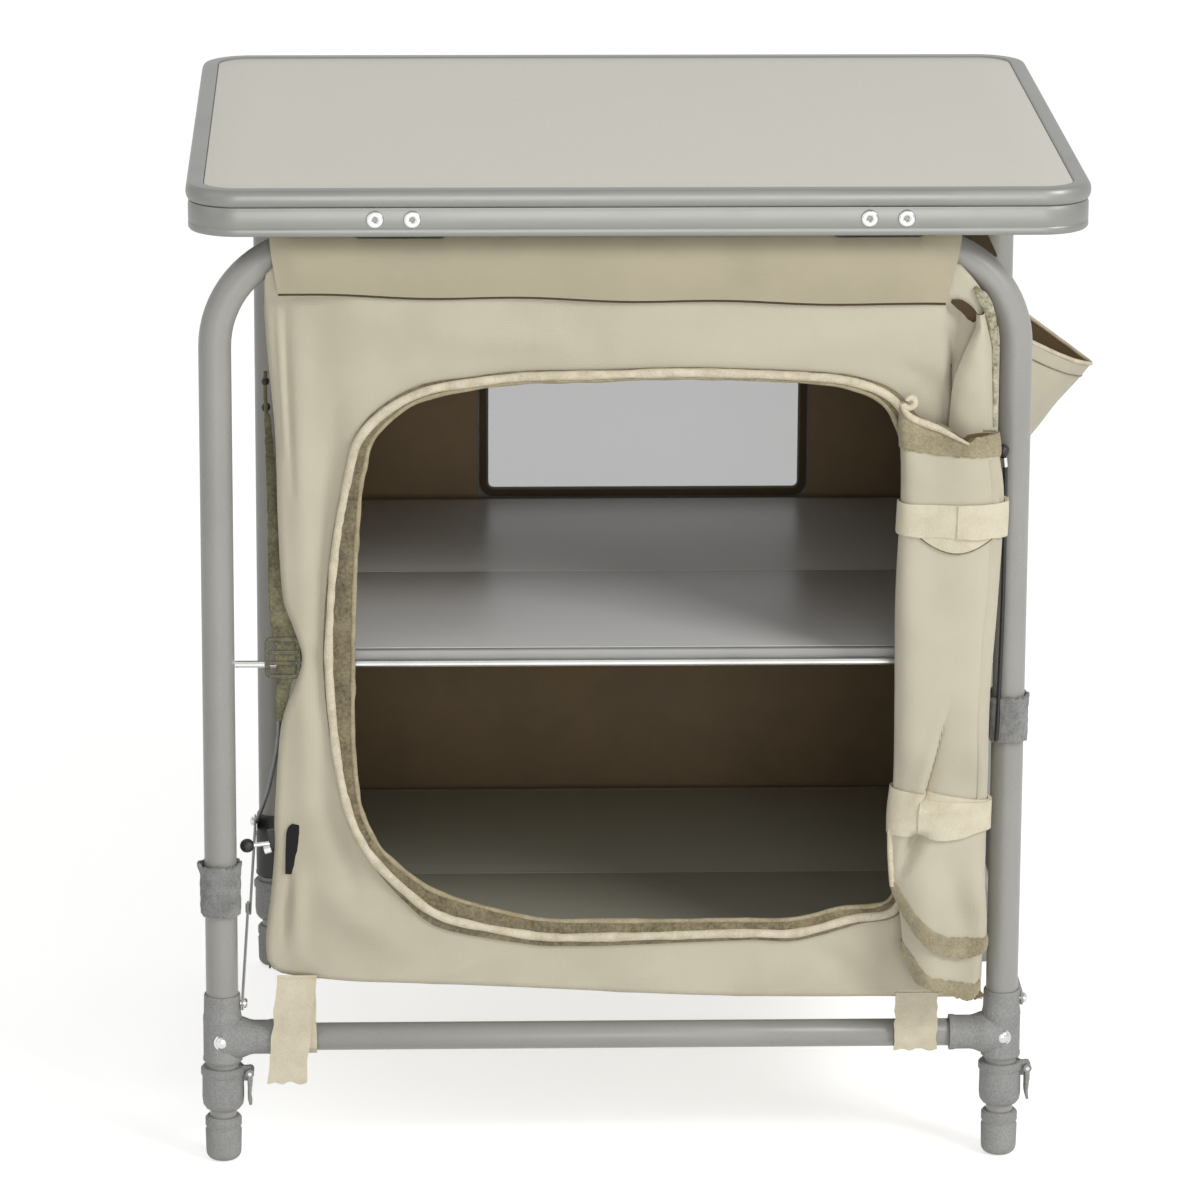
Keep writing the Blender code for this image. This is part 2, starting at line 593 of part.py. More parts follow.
def foot(frame, side, word):
    """Foot tube that slides in the leg, with its boot moulded on."""
    bore = FOOT_TUBE_R - FOOT_TUBE_WALL
    profile = [(0, BOOT_SOLE), (bore, BOOT_SOLE), (bore, FOOT_TUBE_TOP), (FOOT_TUBE_R, FOOT_TUBE_TOP),
               (FOOT_TUBE_R, BOOT_HEIGHT), (BOOT_R - 0.0015, BOOT_HEIGHT), (BOOT_R, BOOT_HEIGHT - 0.002),
               (BOOT_R, 0.008), (BOOT_R - 0.0025, 0.0022), (BOOT_R - 0.005, 0), (0, 0)]
    return smooth(turned(f"{word}_boot_tube", profile, RUBBER, f"{word}_foot",
                         (leg_x(frame, side), frame * FRAME_Y, 0), steps=18, closed=False))


# Side stays

def stay(side, word):
    """Two flat links side by side: the rear one carries the pin of their middle joint."""
    eye = STAY_HEIGHT / 2
    layer = (STAY_THICK + STAY_GAP) / 2
    for frame, start, stop in ((REAR, 0, FRAME_Y), (FRONT, -FRAME_Y, 0)):
        body = f"{word}_{frame_name(frame)}_stay"
        x = side * STAY_PLANE + frame * layer
        low, high = x - STAY_THICK / 2, x + STAY_THICK / 2
        link = box(f"{word}_{frame_name(frame)}_stay_link", (low, start, STAY_Z - eye), (high, stop, STAY_Z + eye),
                   STEEL, body)
        for y in (start, stop):
            boolean(link, rod("eye", eye, (low, y, STAY_Z), (high, y, STAY_Z), STEEL, body, 16), "UNION")
        for y in (start, stop)[frame > 0:]:
            boolean(link, rod("hole", STAY_PIN_R + CLEAR, (low - STAY_HEIGHT, y, STAY_Z),
                              (high + STAY_HEIGHT, y, STAY_Z), STEEL, body, 12))
        if frame == REAR:
            shank = side * STAY_PLANE - layer - STAY_THICK / 2 - CLEAR
            head_r = STAY_PIN_R * 1.8
            boolean(link, rod("shank", STAY_PIN_R, (x, 0, STAY_Z), (shank - STAY_HEAD / 2, 0, STAY_Z), STEEL, body, 12),
                    "UNION")
            boolean(link, rod("head", head_r, (shank, 0, STAY_Z), (shank - STAY_HEAD, 0, STAY_Z), STEEL, body, 14),
                    "UNION")


# Boards

def carrier_rod(frame):
    """Rod between the legs that carries the shelf's outer edge."""
    y = frame * FRAME_Y
    gap = TUBE_R + CLEAR
    return rod(f"{frame_name(frame)}_carrier_rod", CARRIER_R, (leg_x(frame, LEFT) + gap, y, SHELF_HINGE_Z),
               (leg_x(frame, RIGHT) - gap, y, SHELF_HINGE_Z), STEEL, f"{frame_name(frame)}_frame", 10)


def board(level, hinge_z):
    """Two half boards that hinge on a pin level with their undersides."""
    outer = FRAME_Y - CARRIER_R - HINGE_SLACK
    inner = KNUCKLE_R + HINGE_SLACK
    for frame in (REAR, FRONT):
        y0, y1 = sorted((frame * inner, frame * outer))
        half = box(f"{level}_{frame_name(frame)}_board", (-BOARD_HALF_WIDTH, y0, hinge_z),
                   (BOARD_HALF_WIDTH, y1, hinge_z + BOARD_THICK), BOARD_SKIN, f"{level}_{frame_name(frame)}")
        if frame == REAR:
            reach = BOARD_HALF_WIDTH - CLEAR
            boolean(half, box("leaf", (-reach, 0, hinge_z), (reach, inner + KNUCKLE_R, hinge_z + KNUCKLE_R * 0.8),
                              BOARD_SKIN, f"{level}_rear"), "UNION")
            boolean(half, rod("knuckle", KNUCKLE_R, (-reach, 0, hinge_z), (reach, 0, hinge_z), STEEL,
                              f"{level}_rear", 8), "UNION")


# Fabric cupboard

def wall_span(frame):
    """The front wall is wide on the left, the rear wall on the right, as their frames are shifted."""
    return (-PANEL_WIDE, PANEL_NARROW) if frame < 0 else (-PANEL_NARROW, PANEL_WIDE)


def wall(frame, name, hole):
    y0, y1 = sorted((frame * PANEL_IN, frame * PANEL_OUT))
    x0, x1 = wall_span(frame)
    body = f"{frame_name(frame)}_frame"
    panel = slab_y(name, x0, x1, CABINET_FLOOR_Z, PANEL_TOP, y0, y1, 0.012, CANVAS, body, 3)
    hx0, hx1, hz0, hz1, radius = hole
    boolean(panel, slab_y("hole", hx0, hx1, hz0, hz1, y0 - PANEL * 4, y1 + PANEL * 4, radius, CANVAS, body, 8))
    return panel


def window_net():
    """Flat net inside the rear wall, lapped over the window's edge."""
    inner = PANEL_IN - CLEAR
    return box("rear_window_net", (WINDOW_LEFT - NET_SEAM, inner - NET_THICK, WINDOW_BOTTOM - NET_SEAM),
               (WINDOW_RIGHT + NET_SEAM, inner, WINDOW_TOP + NET_SEAM), NET, "rear_frame")


def tube_sleeve(frame, name, drop):
    """Fabric carried over the top tube, down its inner side and further down outside the wall."""
    reach = VALANCE_MID - FRAME_Y
    near = TUBE_R + CLEAR + FABRIC / 2
    x0, x1 = wall_span(frame)
    x0, x1 = (x0, x1 - SLEEVE_SHORT) if frame < 0 else (x0 + SLEEVE_SHORT, x1)
    over = []
    steps = 12
    for i in range(steps + 1):
        turn = math.radians(180 * i / steps)
        across = reach if turn < math.radians(90) else near
        over.append((FRAME_Y + across * math.cos(turn), TUBE_Z + near * math.sin(turn)))
    route = [(FRAME_Y + reach, TUBE_Z - drop), *over, (FRAME_Y - near, TUBE_Z - SLEEVE_BACK)]
    body = f"{frame_name(frame)}_frame"
    sheet = ribbon(name, [((x0 + x1) / 2, frame * y, z) for y, z in route], (x1 - x0, 0, 0), FABRIC, CANVAS, body)
    outer_z = TUBE_Z + CLIP_LIP_RISE - CLEAR * 2 if frame < 0 else TUBE_Z - TUBE_R * 1.6
    for side in (LEFT, RIGHT):
        x = side * CLIP_X
        for near_y, far_y, low_z in ((FRAME_Y - TUBE_R * 3, PANEL_OUT + CLEAR / 2, TUBE_Z - TUBE_R * 1.6),
                                     (FRAME_Y, PANEL_OUT + TUBE_R, outer_z)):
            ys = sorted((frame * near_y, frame * far_y))
            boolean(sheet, box("bracket_gap", (x - CLIP_SPAN / 2, ys[0], low_z),
                               (x + CLIP_SPAN / 2, ys[1], HEIGHT), CANVAS, body))
    return sheet


def side_wall(side, word):
    x0, x1 = sorted((side * CABINET_HALF, side * (CABINET_HALF + FABRIC)))
    reach = PANEL_IN - CLEAR
    panel = box(f"{word}_side_wall", (x0, -reach, CABINET_FLOOR_Z), (x1, reach, ROOF_TOP), CANVAS, "rear_frame")
    for frame in (FRONT, REAR):
        ys = sorted((frame * ROOF_REACH_Y, frame * TOP_DEPTH))
        boolean(panel, box("bend_notch", (x0 - TUBE_R, ys[0], TUBE_Z - BEND_R), (x1 + TUBE_R, ys[1], HEIGHT),
                           CANVAS, "rear_frame"))
    z = SHELF_HINGE_Z
    for frame in (FRONT, REAR):
        y = frame * FRAME_Y
        boolean(panel, rod("eyelet", CARRIER_R + CLEAR * 2, (x0 - CARRIER_R * 2, y, z), (x1 + CARRIER_R * 2, y, z),
                           CANVAS, "rear_frame", 10))
    return panel


def level_sheet(name, z, reach_y):
    reach_x = CABINET_HALF - CLEAR
    return box(name, (-reach_x, -reach_y, z), (reach_x, reach_y, z + FABRIC), CANVAS, "rear_frame")


def door_zip():
    """Zip and piping round the doorway, on the wall's outer face."""
    y0, y1 = -ZIP_OUT, -(PANEL_OUT + CLEAR)
    ring = slab_y("door_zip", DOOR_LEFT - ZIP_WIDTH, DOOR_RIGHT + ZIP_WIDTH, DOOR_BOTTOM - ZIP_WIDTH,
                  DOOR_TOP + ZIP_WIDTH, y0, y1, DOOR_R + ZIP_WIDTH, TRIM, "front_frame", 8)
    return boolean(ring, slab_y("inside", DOOR_LEFT, DOOR_RIGHT, DOOR_BOTTOM, DOOR_TOP, y0 - ZIP_WIDTH,
                                y1 + ZIP_WIDTH, DOOR_R, TRIM, "front_frame", 8))


def pinch(z):
    """How far a strap draws the roll in at a height, from 0 to 1."""
    return max(math.exp(-((z - strap) / 0.030) ** 2) for strap in ROLL_STRAP_Z)


def roll_section(z, count):
    """Flat oval with soft lengthwise folds, which fade out under the straps and at the back."""
    loose = 1 - pinch(z)
    flare = max(0.0, (ROLL_STRAP_Z[1] - z) / (ROLL_STRAP_Z[1] - ROLL_BOTTOM)) ** 2
    points = []
    for i in range(count):
        turn = 2 * math.pi * i / count
        fold = 1 - 0.10 * loose * (0.5 - 0.5 * math.cos(5 * turn + 6 * z)) * (0.5 - 0.5 * math.sin(turn))
        x = ROLL_HALF_WIDTH * fold * (0.93 + 0.07 * loose) * math.cos(turn)
        y = ROLL_HALF_DEPTH * fold * (0.90 - 0.25 * flare) * math.sin(turn)
        points.append((ROLL_X + x, ROLL_Y + y, z))
    return points


def door_roll():
    rows = 22
    heights = [ROLL_BOTTOM + (ROLL_TOP - ROLL_BOTTOM) * i / rows for i in range(rows + 1)]
    return loft("door_roll", [roll_section(z, 24) for z in heights], CANVAS, "front_frame")


def roll_straps():
    """Two tapes that go right round the roll."""
    for z, word in zip(ROLL_STRAP_Z, ("upper", "lower")):
        a = ROLL_HALF_WIDTH + CLEAR * 2 + STRAP / 2
        b = ROLL_HALF_DEPTH + CLEAR * 2 + STRAP / 2
        route = [(ROLL_X + a * math.cos(math.radians(t)), ROLL_Y + b * math.sin(math.radians(t)), z)
                 for t in range(90, 446, 15)]
        ribbon(f"{word}_door_strap", route, (0, 0, ROLL_STRAP_HEIGHT), STRAP, WEBBING, "front_frame")


def leg_straps():
    """Hook-and-loop tapes that tie the cupboard to the front legs."""
    r = TUBE_R + CLEAR + STRAP / 2
    for (side, word), z, height in zip(SIDES, LEG_STRAP_Z, LEG_STRAP_HEIGHT):
        x = leg_x(FRONT, side)
        route = [(x + r * math.cos(math.radians(t)), -FRAME_Y + r * math.sin(math.radians(t)), z)
                 for t in range(-80, 251, 15)]
        ribbon(f"{word}_leg_strap", route, (0, 0, height), STRAP, GREY_TAPE, "front_frame")


def hold_down_straps():
    """Tapes from the wall's foot down in front of the rail, round it and up behind, with a loose end."""
    r = RAIL_R + CLEAR + STRAP / 2
    wall_y = -(PANEL_IN + PANEL_OUT) / 2
    for (side, word), x, tail in zip(SIDES, HOLD_STRAP_X, HOLD_TAIL):
        loop = [(-FRAME_Y + r * math.cos(math.radians(t)), RAIL_Z + r * math.sin(math.radians(t)))
                for t in range(180, 121 + 270, 15)]
        route = [(wall_y, CABINET_FLOOR_Z - CLEAR), (wall_y, RAIL_Z + RAIL_R), *loop]
        tape = ribbon(f"{word}_hold_down_strap", [(x, y, z) for y, z in route], (HOLD_STRAP_WIDTH, 0, 0), STRAP,
                      WEBBING, "front_frame")
        face_y = -FRAME_Y - r
        flap = ribbon("flap", [(x, face_y, RAIL_Z), (x, face_y - STRAP / 4, RAIL_Z - RAIL_R),
                               (x, face_y, RAIL_Z - RAIL_R - tail)],
                      (HOLD_STRAP_WIDTH * 0.96, 0, 0), STRAP, WEBBING, "front_frame")
        boolean(tape, flap, "UNION")


def side_pocket():
    """Wedge-shaped pouch on the right wall: sloping front, two gusset ends and an open mouth."""
    wall_x = CABINET_HALF + FABRIC + CLEAR
    foot_x = wall_x + POCKET_FOOT
    outline = [(wall_x, POCKET_TOP), (POCKET_REACH, POCKET_LIP), (foot_x, POCKET_BOTTOM), (wall_x, POCKET_BOTTOM)]
    rings = [[(x, y, z) for x, z in outline] for y in (-POCKET_HALF, POCKET_HALF)]
    pouch = loft("side_pocket", rings, CANVAS, "rear_frame")
    t = FABRIC * 1.3
    inside = [(wall_x + t, POCKET_TOP + 0.06), (POCKET_REACH - t * 1.2, POCKET_LIP + 0.06),
              (POCKET_REACH - t * 1.2, POCKET_LIP), (foot_x - t * 0.4, POCKET_BOTTOM + t), (wall_x + t, POCKET_BOTTOM + t)]
    hollow = loft("hollow", [[(x, y, z) for x, z in inside] for y in (-POCKET_HALF + t, POCKET_HALF - t)],
                  CANVAS, "rear_frame")
    return boolean(pouch, hollow)


def build():
    table_rim()
    table_board()
    table_brackets()
    rim_rivets()
    for frame in (FRONT, REAR):
        u_frame(frame)
        rail(frame)
        carrier_rod(frame)
    for frame, side, word in CORNERS:
        tee(frame, side, word)
        clamp_collar(frame, side, word)
        lever(frame, side, word)
        foot(frame, side, word)
    for side, word in SIDES:
        tee_rivet(side, word)
        stay(side, word)
        side_wall(side, word)
    board("shelf", SHELF_HINGE_Z)
    board("floor", FLOOR_HINGE_Z)
    wall(FRONT, "front_wall", (DOOR_LEFT, DOOR_RIGHT, DOOR_BOTTOM, DOOR_TOP, DOOR_R))
    wall(REAR, "rear_wall", (WINDOW_LEFT, WINDOW_RIGHT, WINDOW_BOTTOM, WINDOW_TOP, WINDOW_R))
    window_net()
    tube_sleeve(FRONT, "front_valance", VALANCE_DROP)
    tube_sleeve(REAR, "rear_sleeve", SLEEVE_DROP)
    level_sheet("cupboard_base", CABINET_FLOOR_Z, PANEL_IN - CLEAR)
    level_sheet("cupboard_roof", ROOF_TOP - FABRIC, ROOF_REACH_Y)
    door_zip()
    door_roll()
    roll_straps()
    leg_straps()
    hold_down_straps()
    side_pocket()


build()
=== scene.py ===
"""Looks of the folding camp shelf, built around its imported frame.

Lengths are metres and angles degrees unless a name says otherwise. Places are written in the shelf's
own frame: origin on the ground under the middle of the table top, X to the side pocket, Y to the back
and Z up. `Skin.piece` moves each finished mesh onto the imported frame.
"""
from __future__ import annotations

import json
import logging
from dataclasses import dataclass, field
from enum import Enum
from typing import Sequence

import bmesh
import bpy
import numpy as np
from mathutils import Matrix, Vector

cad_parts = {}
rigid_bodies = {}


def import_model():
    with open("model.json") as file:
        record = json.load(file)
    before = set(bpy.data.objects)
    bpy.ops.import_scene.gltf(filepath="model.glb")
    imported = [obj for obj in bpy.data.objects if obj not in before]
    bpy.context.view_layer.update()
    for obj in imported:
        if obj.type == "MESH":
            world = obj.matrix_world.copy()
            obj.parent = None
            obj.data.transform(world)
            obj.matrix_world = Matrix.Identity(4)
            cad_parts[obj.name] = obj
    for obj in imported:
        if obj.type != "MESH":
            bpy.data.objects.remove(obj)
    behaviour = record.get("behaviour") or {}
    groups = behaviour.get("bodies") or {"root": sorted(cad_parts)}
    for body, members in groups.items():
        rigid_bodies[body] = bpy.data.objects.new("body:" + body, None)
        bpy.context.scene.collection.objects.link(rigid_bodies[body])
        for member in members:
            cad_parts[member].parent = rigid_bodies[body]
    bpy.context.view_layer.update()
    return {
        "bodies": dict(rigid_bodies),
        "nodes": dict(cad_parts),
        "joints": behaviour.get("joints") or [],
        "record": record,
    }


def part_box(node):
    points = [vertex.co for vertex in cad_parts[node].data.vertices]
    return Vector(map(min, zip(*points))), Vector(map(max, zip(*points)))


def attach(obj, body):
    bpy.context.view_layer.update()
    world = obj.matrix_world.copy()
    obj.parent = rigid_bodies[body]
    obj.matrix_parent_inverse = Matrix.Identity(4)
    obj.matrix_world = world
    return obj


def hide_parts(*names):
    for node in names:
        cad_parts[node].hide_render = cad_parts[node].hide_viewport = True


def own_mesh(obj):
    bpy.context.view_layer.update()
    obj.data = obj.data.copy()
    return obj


LOG = logging.getLogger("camp_shelf")
TUBE_R = 0.011
REACH_Y = 0.21          # frame planes before and behind the middle
STAY_X = 0.2675         # plane of the side stays
WELD = 0.000004         # points nearer than this are merged
SPLINE_STEPS = 24       # places between two points of a smooth line
LEFT, RIGHT = -1, 1
FRONT, REAR = -1, 1
WORD = {LEFT: "left", RIGHT: "right"}
X_AXIS, Y_AXIS, Z_AXIS = (1, 0, 0), (0, 1, 0), (0, 0, 1)
Run = tuple[tuple[float, float], ...]
Points = Sequence[Sequence[float]] | np.ndarray


class Grain(Enum):
    """How the fine relief of a finish is patterned."""

    SPRAY = "low rounded bumps of a sprayed coat"
    WEAVE = "over and under threads of a plain weave"
    PILE = "loose loops and hairs"
    SPARK = "pitted skin of a spark-eroded mould"
    PEBBLE = "close rounded dots pressed into a laminate"
    BRUSH = "lines drawn along X"


def linear(code: str) -> tuple[float, float, float, float]:
    """Turns an sRGB hex code such as "#C8C0AA" into a linear colour with an alpha of 1."""
    parts = [int(code[i:i + 2], 16) / 255 for i in (1, 3, 5)]
    return (*[c / 12.92 if c <= 0.04045 else ((c + 0.055) / 1.055) ** 2.4 for c in parts], 1.0)


def add_node(tree: bpy.types.NodeTree, kind: str, inputs: dict | None = None, **settings) -> bpy.types.Node:
    """Adds a node with its settings and links.

    Args:
        tree: node tree of one material.
        kind: Blender's name of the node type after ShaderNode.
        inputs: input name or number to a value, or to the output socket that feeds it.
        settings: attributes of the node, such as operation or data_type.

    Returns:
        The new node.
    """
    node = tree.nodes.new(f"ShaderNode{kind}")
    for name, value in settings.items():
        setattr(node, name, value)
    for key, value in (inputs or {}).items():
        if isinstance(value, bpy.types.NodeSocket):
            tree.links.new(value, node.inputs[key])
        else:
            node.inputs[key].default_value = value
    return node


def seen_rays(tree: bpy.types.NodeTree) -> bpy.types.NodeSocket:
    """Tells the rays that see the background from those that light the object.

    Args:
        tree: node tree of the floor or the world.

    Returns:
        Socket with 1 for camera, glossy and transmission rays, and 0 for all others.
    """
    path = add_node(tree, "LightPath").outputs
    passed = add_node(tree, "Math", {0: path["Is Glossy Ray"], 1: path["Is Transmission Ray"]},
                      operation="MAXIMUM").outputs[0]
    return add_node(tree, "Math", {0: path["Is Camera Ray"], 1: passed}, operation="MAXIMUM").outputs[0]


def hang(name: str, data: bpy.types.ID) -> bpy.types.Object:
    """Puts an object with this data into the scene."""
    made = bpy.data.objects.new(name, data)
    bpy.context.scene.collection.objects.link(made)
    return made


@dataclass(frozen=True)
class Finish:
    """One real material and how its surface was made; lengths here are millimetres."""

    name: str
    slot: str
    colour: str
    shade: str
    grain: Grain
    grain_mm: float
    depth_mm: float
    roughness: float
    contrast: float = 0.3
    patch_mm: float = 80.0
    patch: float = 0.35
    metallic: float = 0.0
    sheen: float = 0.0
    coat: float = 0.0
    opacity: float = 1.0

    def relief(self, tree: bpy.types.NodeTree, place: bpy.types.NodeSocket) -> bpy.types.NodeSocket:
        """Height of the fine relief, from 0 to 1.

        Args:
            tree: node tree of the material.
            place: object coordinates in metres.

        Returns:
            The socket that holds the height.
        """
        scale = 1000 / self.grain_mm
        even = (scale, scale, scale)
        if self.grain is Grain.WEAVE:
            uv = add_node(tree, "UVMap").outputs["UV"]
            cells = add_node(tree, "Mapping", {"Vector": uv, "Scale": even}).outputs[0]
            one_wave = 2 * np.pi / 20
            threads = [add_node(tree, "TexWave", {"Vector": cells, "Scale": one_wave, "Distortion": 0.6,
                                                  "Detail": 1.0}, bands_direction=axis).outputs["Fac"]
                       for axis in "XY"]
            over = add_node(tree, "TexChecker", {"Vector": cells, "Scale": 1.0}).outputs["Fac"]
            return add_node(tree, "Mix", {0: over, 2: threads[0], 3: threads[1]},
                            data_type="FLOAT").outputs[0]
        if self.grain is Grain.PEBBLE:
            dots = add_node(tree, "TexVoronoi", {"Vector": place, "Scale": scale, "Smoothness": 0.4},
                            feature="SMOOTH_F1").outputs["Distance"]
            return add_node(tree, "MapRange", {0: dots, 1: 0.1, 2: 0.8, 3: 1.0, 4: 0.0}).outputs[0]
        stretch = (scale * 0.02, scale, scale) if self.grain is Grain.BRUSH else even
        spread = add_node(tree, "Mapping", {"Vector": place, "Scale": stretch}).outputs[0]
        detail, rough = {Grain.SPRAY: (1.0, 0.4), Grain.PILE: (5.0, 0.75)}.get(self.grain, (3.0, 0.6))
        noise = add_node(tree, "TexNoise", {"Vector": spread, "Scale": 1.0, "Detail": detail,
                                            "Roughness": rough}).outputs["Fac"]
        return add_node(tree, "MapRange", {0: noise, 1: 0.32, 2: 0.68, 3: 0.0, 4: 1.0}).outputs[0]

    def material(self) -> bpy.types.Material:
        """Makes the material once, or returns the one that was made.

        Colour runs from shade to colour with soft patches and with the relief's height, roughness
        follows the patches and the relief bends the normal.

        Returns:
            The Blender material.
        """
        if self.name in bpy.data.materials:
            return bpy.data.materials[self.name]
        mat = bpy.data.materials.new(self.name)
        mat.use_nodes = True
        tree = mat.node_tree
        tree.nodes.clear()
        place = add_node(tree, "TexCoord").outputs["Object"]
        height = self.relief(tree, place)
        patches = add_node(tree, "TexNoise", {"Vector": place, "Scale": 1000 / self.patch_mm,
                                              "Detail": 3.0, "Roughness": 0.55}).outputs["Fac"]
        soft = add_node(tree, "MapRange",
                        {0: patches, 1: 0.3, 2: 0.7, 3: -self.patch, 4: self.patch}).outputs[0]
        fine = add_node(tree, "Math", {0: height, 1: self.contrast, 2: 1 - self.contrast},
                        operation="MULTIPLY_ADD").outputs[0]
        share = add_node(tree, "Math", {0: fine, 1: soft}, operation="ADD", use_clamp=True).outputs[0]
        colour = add_node(tree, "Mix", {0: share, 6: linear(self.shade), 7: linear(self.colour)},
                          data_type="RGBA").outputs[2]
        rough = add_node(tree, "MapRange", {0: patches, 1: 0.3, 2: 0.7, 3: self.roughness * 0.9,
                                            4: min(1.0, self.roughness * 1.1)}).outputs[0]
        bump = add_node(tree, "Bump", {"Height": height, "Strength": 0.8,
                                       "Distance": self.depth_mm / 1000}).outputs[0]
        shader = add_node(tree, "BsdfPrincipled", {
            "Base Color": colour, "Roughness": rough, "Normal": bump, "Metallic": self.metallic,
            "Sheen Weight": self.sheen, "Sheen Roughness": 0.5, "Coat Weight": self.coat,
            "Alpha": self.opacity})
        add_node(tree, "OutputMaterial", {"Surface": shader.outputs[0]})
        return mat


# Grey powder coat on steel tube: satin, with a faint orange peel
PAINT = Finish(
    "grey_powder_coat_on_steel", "frame_paint", "#9A9994", "#8E8D88", Grain.SPRAY, 1.4, 0.02, 0.36)
# Anodised aluminium section: even, pale, drawn along its length
ALUMINIUM = Finish(
    "anodised_aluminium_section", "rim_aluminium", "#8E8E8A", "#81817D", Grain.BRUSH, 0.8, 0.008, 0.42,
    contrast=0.15, metallic=0.55)
# Melamine laminate on board, pressed with close dots that break up its gloss
LAMINATE = Finish(
    "pressed_melamine_laminate", "table_laminate", "#DAD7C9", "#CAC7B8", Grain.PEBBLE, 1.6, 0.05, 0.4,
    contrast=0.35, patch_mm=220, patch=0.25)
# Plain-woven polyester canvas; threads drawn at 1 mm so that they show
CANVAS = Finish(
    "woven_polyester_canvas", "canvas", "#C7C0AB", "#A9A189", Grain.WEAVE, 1.0, 0.1, 0.85, contrast=0.35,
    patch_mm=90, patch=0.3, sheen=0.15)
# Coated brown inner face of the canvas
LINING = Finish(
    "coated_brown_lining", "canvas", "#7C6849", "#5F4E35", Grain.WEAVE, 1.0, 0.06, 0.7, patch_mm=60)
# Brushed olive velour round the doorway, also for one tape's fray and the pocket's stitching
VELOUR = Finish(
    "olive_velour_binding", "binding", "#94886A", "#433A28", Grain.PILE, 2.4, 0.5, 0.95, contrast=0.8,
    patch_mm=14, patch=0.3, sheen=0.3)
# The same velour on the roll's hems, where it is cleaner and catches more light
VELOUR_LIGHT = Finish(
    "pale_olive_velour_hem", "binding", "#AEA385", "#776C50", Grain.PILE, 1.8, 0.4, 0.95, contrast=0.7,
    patch_mm=14, patch=0.25, sheen=0.3)
# Worn tan edge of the zip tape
TAN_EDGE = Finish(
    "worn_tan_zip_tape", "binding", "#B5A98B", "#8B7E62", Grain.PILE, 1.6, 0.25, 0.95, contrast=0.7,
    patch_mm=9)
# Woven tape frayed to cream and olive threads
FRAYED = Finish(
    "frayed_cream_and_olive_tape", "binding", "#D2CBB4", "#7C785C", Grain.PILE, 3.0, 0.5, 0.95,
    contrast=0.95, patch_mm=9, patch=0.4)
# Olive polypropylene strap of the left tie, worn rough
FRAYED_OLIVE = Finish(
    "olive_polypropylene_strap", "binding", "#8A8568", "#4C4934", Grain.PILE, 2.2, 0.5, 0.9, contrast=0.9,
    patch_mm=12, patch=0.3)
# Pale corded piping beside the velour
PIPING = Finish(
    "pale_corded_piping", "binding", "#DDD3BC", "#B3A88C", Grain.PILE, 1.5, 0.2, 0.9, contrast=0.6,
    patch_mm=10)
# Nylon webbing with short loops, cream
WEBBING = Finish(
    "cream_loop_webbing", "webbing", "#D8CFB8", "#BDB399", Grain.PILE, 1.3, 0.15, 0.9, contrast=0.5,
    patch_mm=18, sheen=0.2)
# Grey hook-and-loop tape
HOOK_TAPE = Finish(
    "grey_hook_and_loop_tape", "hook_tape", "#999997", "#6C6C6A", Grain.PILE, 1.6, 0.35, 0.95,
    contrast=0.8, patch_mm=12, sheen=0.2)
# Nylon moulding with a spark-eroded skin, matt
NYLON = Finish(
    "spark_textured_grey_nylon", "grey_plastic", "#9B9B99", "#6F6F6D", Grain.SPARK, 1.3, 0.25, 0.6,
    contrast=0.6, patch_mm=25, patch=0.15)
# Black acetal of the rear tees, and of the stops and cords of both ties; the right cord's lower run is also
# painted shadow in a gap
ACETAL = Finish("black_acetal_and_painted_gap_shadow", "black_plastic", "#262626", "#151515", Grain.SPARK, 1.0, 0.04, 0.45)
# Olive nylon of the ladder buckle, mottled
OLIVE_NYLON = Finish(
    "mottled_olive_nylon", "black_plastic", "#6B6A52", "#2F2F24", Grain.SPARK, 1.6, 0.15, 0.55,
    contrast=0.9, patch_mm=8, patch=0.3)
# Moulded grey rubber of the boots
RUBBER = Finish(
    "moulded_grey_rubber", "grey_rubber", "#A0A09D", "#777774", Grain.SPARK, 1.2, 0.25, 0.8, contrast=0.6,
    patch_mm=25, patch=0.15)
# Grey foil on the shelf board, with a soft gloss
FOIL = Finish(
    "grey_foil_on_board", "board_skin", "#E0E0DE", "#D2D2D0", Grain.SPRAY, 2.5, 0.001, 0.3, contrast=0.1,
    patch_mm=900, patch=0.0)
# The shelf's grey foil again on the floor boards, painted darker and more olive: painted shade under the
# shelf
SHADED_FLOOR_FOIL = Finish(
    "olive_grey_foil_on_board", "board_skin", "#B2B2A2", "#A5A595", Grain.SPRAY, 2.5, 0.001, 0.36,
    contrast=0.1, patch_mm=900, patch=0.0)
# Plastic edging of the boards
EDGING = Finish("pale_board_edging", "board_skin", "#A3A39F", "#8E8E8A", Grain.BRUSH, 1.0, 0.03, 0.45)
# Bright zinc on rivets, pins and carrier rods
ZINC = Finish(
    "bright_zinc_plate", "plated_steel", "#D6D6D4", "#B5B5B3", Grain.SPRAY, 1.0, 0.01, 0.22, metallic=1.0)
# The same canvas laid double over the tubes, painted a shade darker: painted shade under the table top
SHADED_CANVAS = Finish(
    "doubled_canvas_with_painted_shade", "canvas", "#B5AC93", "#9A917A", Grain.WEAVE, 1.0, 0.1, 0.85,
    contrast=0.3, patch_mm=70, patch=0.25, sheen=0.1)
# Dark brown woven tape round the window; also painted shadow as a line under the hems, under and along the
# free edge of the pleat, and in the pleat's mouth
UMBER = Finish("umber_tape_and_painted_shadow", "binding", "#4C3C27", "#33281A", Grain.PILE, 1.2, 0.1, 0.95)
# Black painted shadow for the dark opening of the slot for the stay
SLOT = Finish("black_painted_slot_shadow", "binding", "#060606", "#030303", Grain.PILE, 1.2, 0.05, 0.95)
# Fine grey insect net, whose gaps let two fifths of the light through both of its faces
NET = Finish(
    "fine_grey_window_net", "window_net", "#8E8E90", "#828284", Grain.WEAVE, 1.2, 0.05, 0.8, opacity=0.37)
